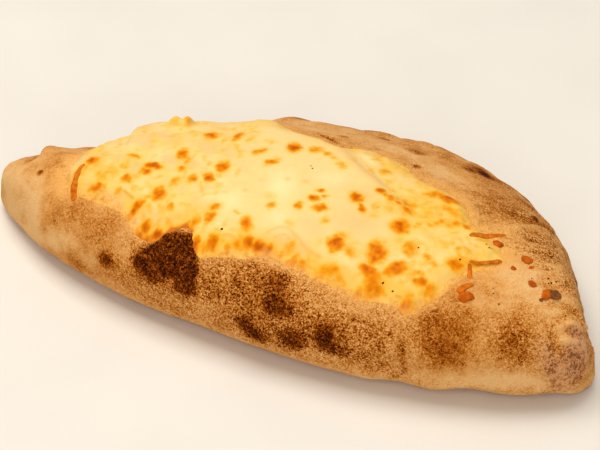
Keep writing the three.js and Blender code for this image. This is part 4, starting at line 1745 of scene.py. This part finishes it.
@dataclass
class Lumps:
    """Low uneven lumps that sit on the surface below them."""

    ground: Ground
    name: str
    rows: Rows
    finish: ScrapFinish
    height: float = 0.15
    bed: float = 0.35
    steps: int = 20
    around: int = 24
    rough: float = 0.3

    def _lump(self, x: float, y: float, size: Span, turn: float) -> Shape:
        """How one lump's ball is squashed and laid on the surface.

        Args:
            x: where it lies.
            y: where it lies.
            size: its length and width.
            turn: its turn in degrees.

        Returns:
            The function that moves the ball's points.
        """
        centre, normal = self.ground.under(x, y)
        upright = Vector(normal).to_track_quat("Z", "Y").to_matrix()
        axes = np.array(upright @ Matrix.Rotation(math.radians(turn), 3, "Z"))
        length, width = size
        half_height = width * self.height

        def shape(ball: np.ndarray) -> np.ndarray:
            """Moves the ball's points."""
            uneven = 1 + self.rough * (grain(ball * 3.0, 2.4, x) + 0.5 * grain(ball, 0.5, y))
            local = ball * np.array([length / 2, width / 2, half_height]) * uneven[:, None]
            local[:, 2] += half_height * self.bed
            return centre + local @ axes.T

        return shape

    def build(self) -> bpy.types.Object:
        """Makes the lumps as one piece."""
        pile = Pile(self.name)
        for row in self.rows:
            x, y, length = row[:3]
            width, turn = row[3:] if len(row) > 3 else (length * 0.8, 40.0 * length)
            pile.ball(self.steps, self.around, self._lump(x, y, (length, width), turn))
        return pile.to_object(self.finish.material(), "cheese")


# ---- Studio


@dataclass(frozen=True)
class Lamp:
    """A square soft light that faces the middle of the part, in metres and watts."""

    name: str
    place: tuple[float, float, float]
    side: float
    power: float
    colour: Colour = paint(255, 246, 232)

    def add(self) -> None:
        """Adds the light to the scene."""
        data = bpy.data.lights.new(self.name, "AREA")
        data.size = self.side
        data.energy = self.power
        data.color = self.colour[:3]
        lamp = bpy.data.objects.new(self.name, data)
        lamp.location = self.place
        lamp.rotation_euler = Vector(self.place).to_track_quat("Z", "Y").to_euler()
        bpy.context.scene.collection.objects.link(lamp)


@dataclass
class Studio:
    """The floor, the soft lights and the camera."""

    azimuth: float = 25.0
    elevation: float = 40.0
    distance: float = 900.0
    aim: tuple[float, float, float] = (4.0, -12.0, 15.0)
    pan_right: float = -3.29
    pan_up: float = 7.65
    lens: float = 115.02
    sensor: float = 36.0
    clip: Span = (0.01, 20.0)
    floor_half: float = 3000.0
    sky: Colour = paint(244, 242, 238)
    sky_strength: float = 0.36
    lamps: tuple[Lamp, ...] = (
        Lamp("key", (-0.35, 0.1, 1.5), 1.0, 19.5),
        Lamp("fill", (0.45, -1.3, 0.95), 1.2, 10.5),
    )

    def _camera(self) -> None:
        """Adds the camera."""
        azimuth = math.radians(self.azimuth)
        elevation = math.radians(self.elevation)
        level = Vector((math.sin(azimuth), -math.cos(azimuth), 0)) * math.cos(elevation)
        back = level + Vector((0, 0, math.sin(elevation)))
        right = Vector((math.cos(azimuth), math.sin(azimuth), 0))
        place = Vector(self.aim) + right * self.pan_right + back.cross(right) * self.pan_up
        place += back * self.distance
        data = bpy.data.cameras.new("camera")
        data.lens = self.lens
        data.sensor_width = self.sensor
        data.clip_start, data.clip_end = self.clip
        camera = bpy.data.objects.new("camera", data)
        camera.location = place * MILLIMETRE
        camera.rotation_euler = back.to_track_quat("Z", "Y").to_euler()
        bpy.context.scene.collection.objects.link(camera)
        bpy.context.scene.camera = camera

    def _floor(self) -> None:
        """Adds the floor."""
        mesh = bpy.data.meshes.new("floor")
        sheet = bmesh.new()
        bmesh.ops.create_grid(sheet, x_segments=1, y_segments=1, size=self.floor_half * MILLIMETRE)
        sheet.to_mesh(mesh)
        sheet.free()
        place_mesh("floor", mesh, FloorFinish().material())

    def _sky(self) -> None:
        """Gives the room its even light."""
        world = bpy.data.worlds.new("room")
        world.use_nodes = True
        background = world.node_tree.nodes["Background"]
        background.inputs["Color"].default_value = self.sky
        background.inputs["Strength"].default_value = self.sky_strength
        bpy.context.scene.world = world

    def build(self) -> None:
        """Sets the scene up."""
        bpy.context.scene.view_settings.view_transform = "Standard"
        self._camera()
        self._floor()
        self._sky()
        for lamp in self.lamps:
            lamp.add()


# ---- Everything together


def report(piece: bpy.types.Object) -> bpy.types.Object:
    """Logs a piece's size and hands it on."""
    count = sum(len(polygon.vertices) - 2 for polygon in piece.data.polygons)
    LOG.info("%s: %d triangles", piece.name, count)
    return piece


def main() -> None:
    """Builds the studio and every piece, in order."""
    logging.basicConfig(level=logging.INFO, format="%(message)s")
    Studio().build()
    dough = Dough()
    edge = Line([*CHEESE_FRONT, *CHEESE_BACK[-2:0:-1]], closed=True)
    crust = Crust(dough, edge)
    shell = report(crust.build())
    cheese = report(Cheese(dough, crust).build())
    ground = Ground([shell, cheese])
    report(Shreds(ground).build())
    drop = ScrapFinish("browned_drop", paint(204, 100, 4), paint(156, 68, 2), 2.4, 0.5)
    report(Lumps(ground, "browned_drops", DROPS, drop).build())
    herb = ScrapFinish("herb_scrap", paint(146, 88, 40), paint(88, 52, 26), 2.0, 0.7)
    report(Lumps(ground, "herb_scraps", SCRAPS, herb).build())
    pepper = ScrapFinish("dark_fleck", paint(66, 44, 24), paint(24, 16, 12), 0.8, 0.6)
    report(Lumps(ground, "dark_flecks", FLECKS, pepper, steps=6, around=8).build())


if __name__ == "__main__":
    main()
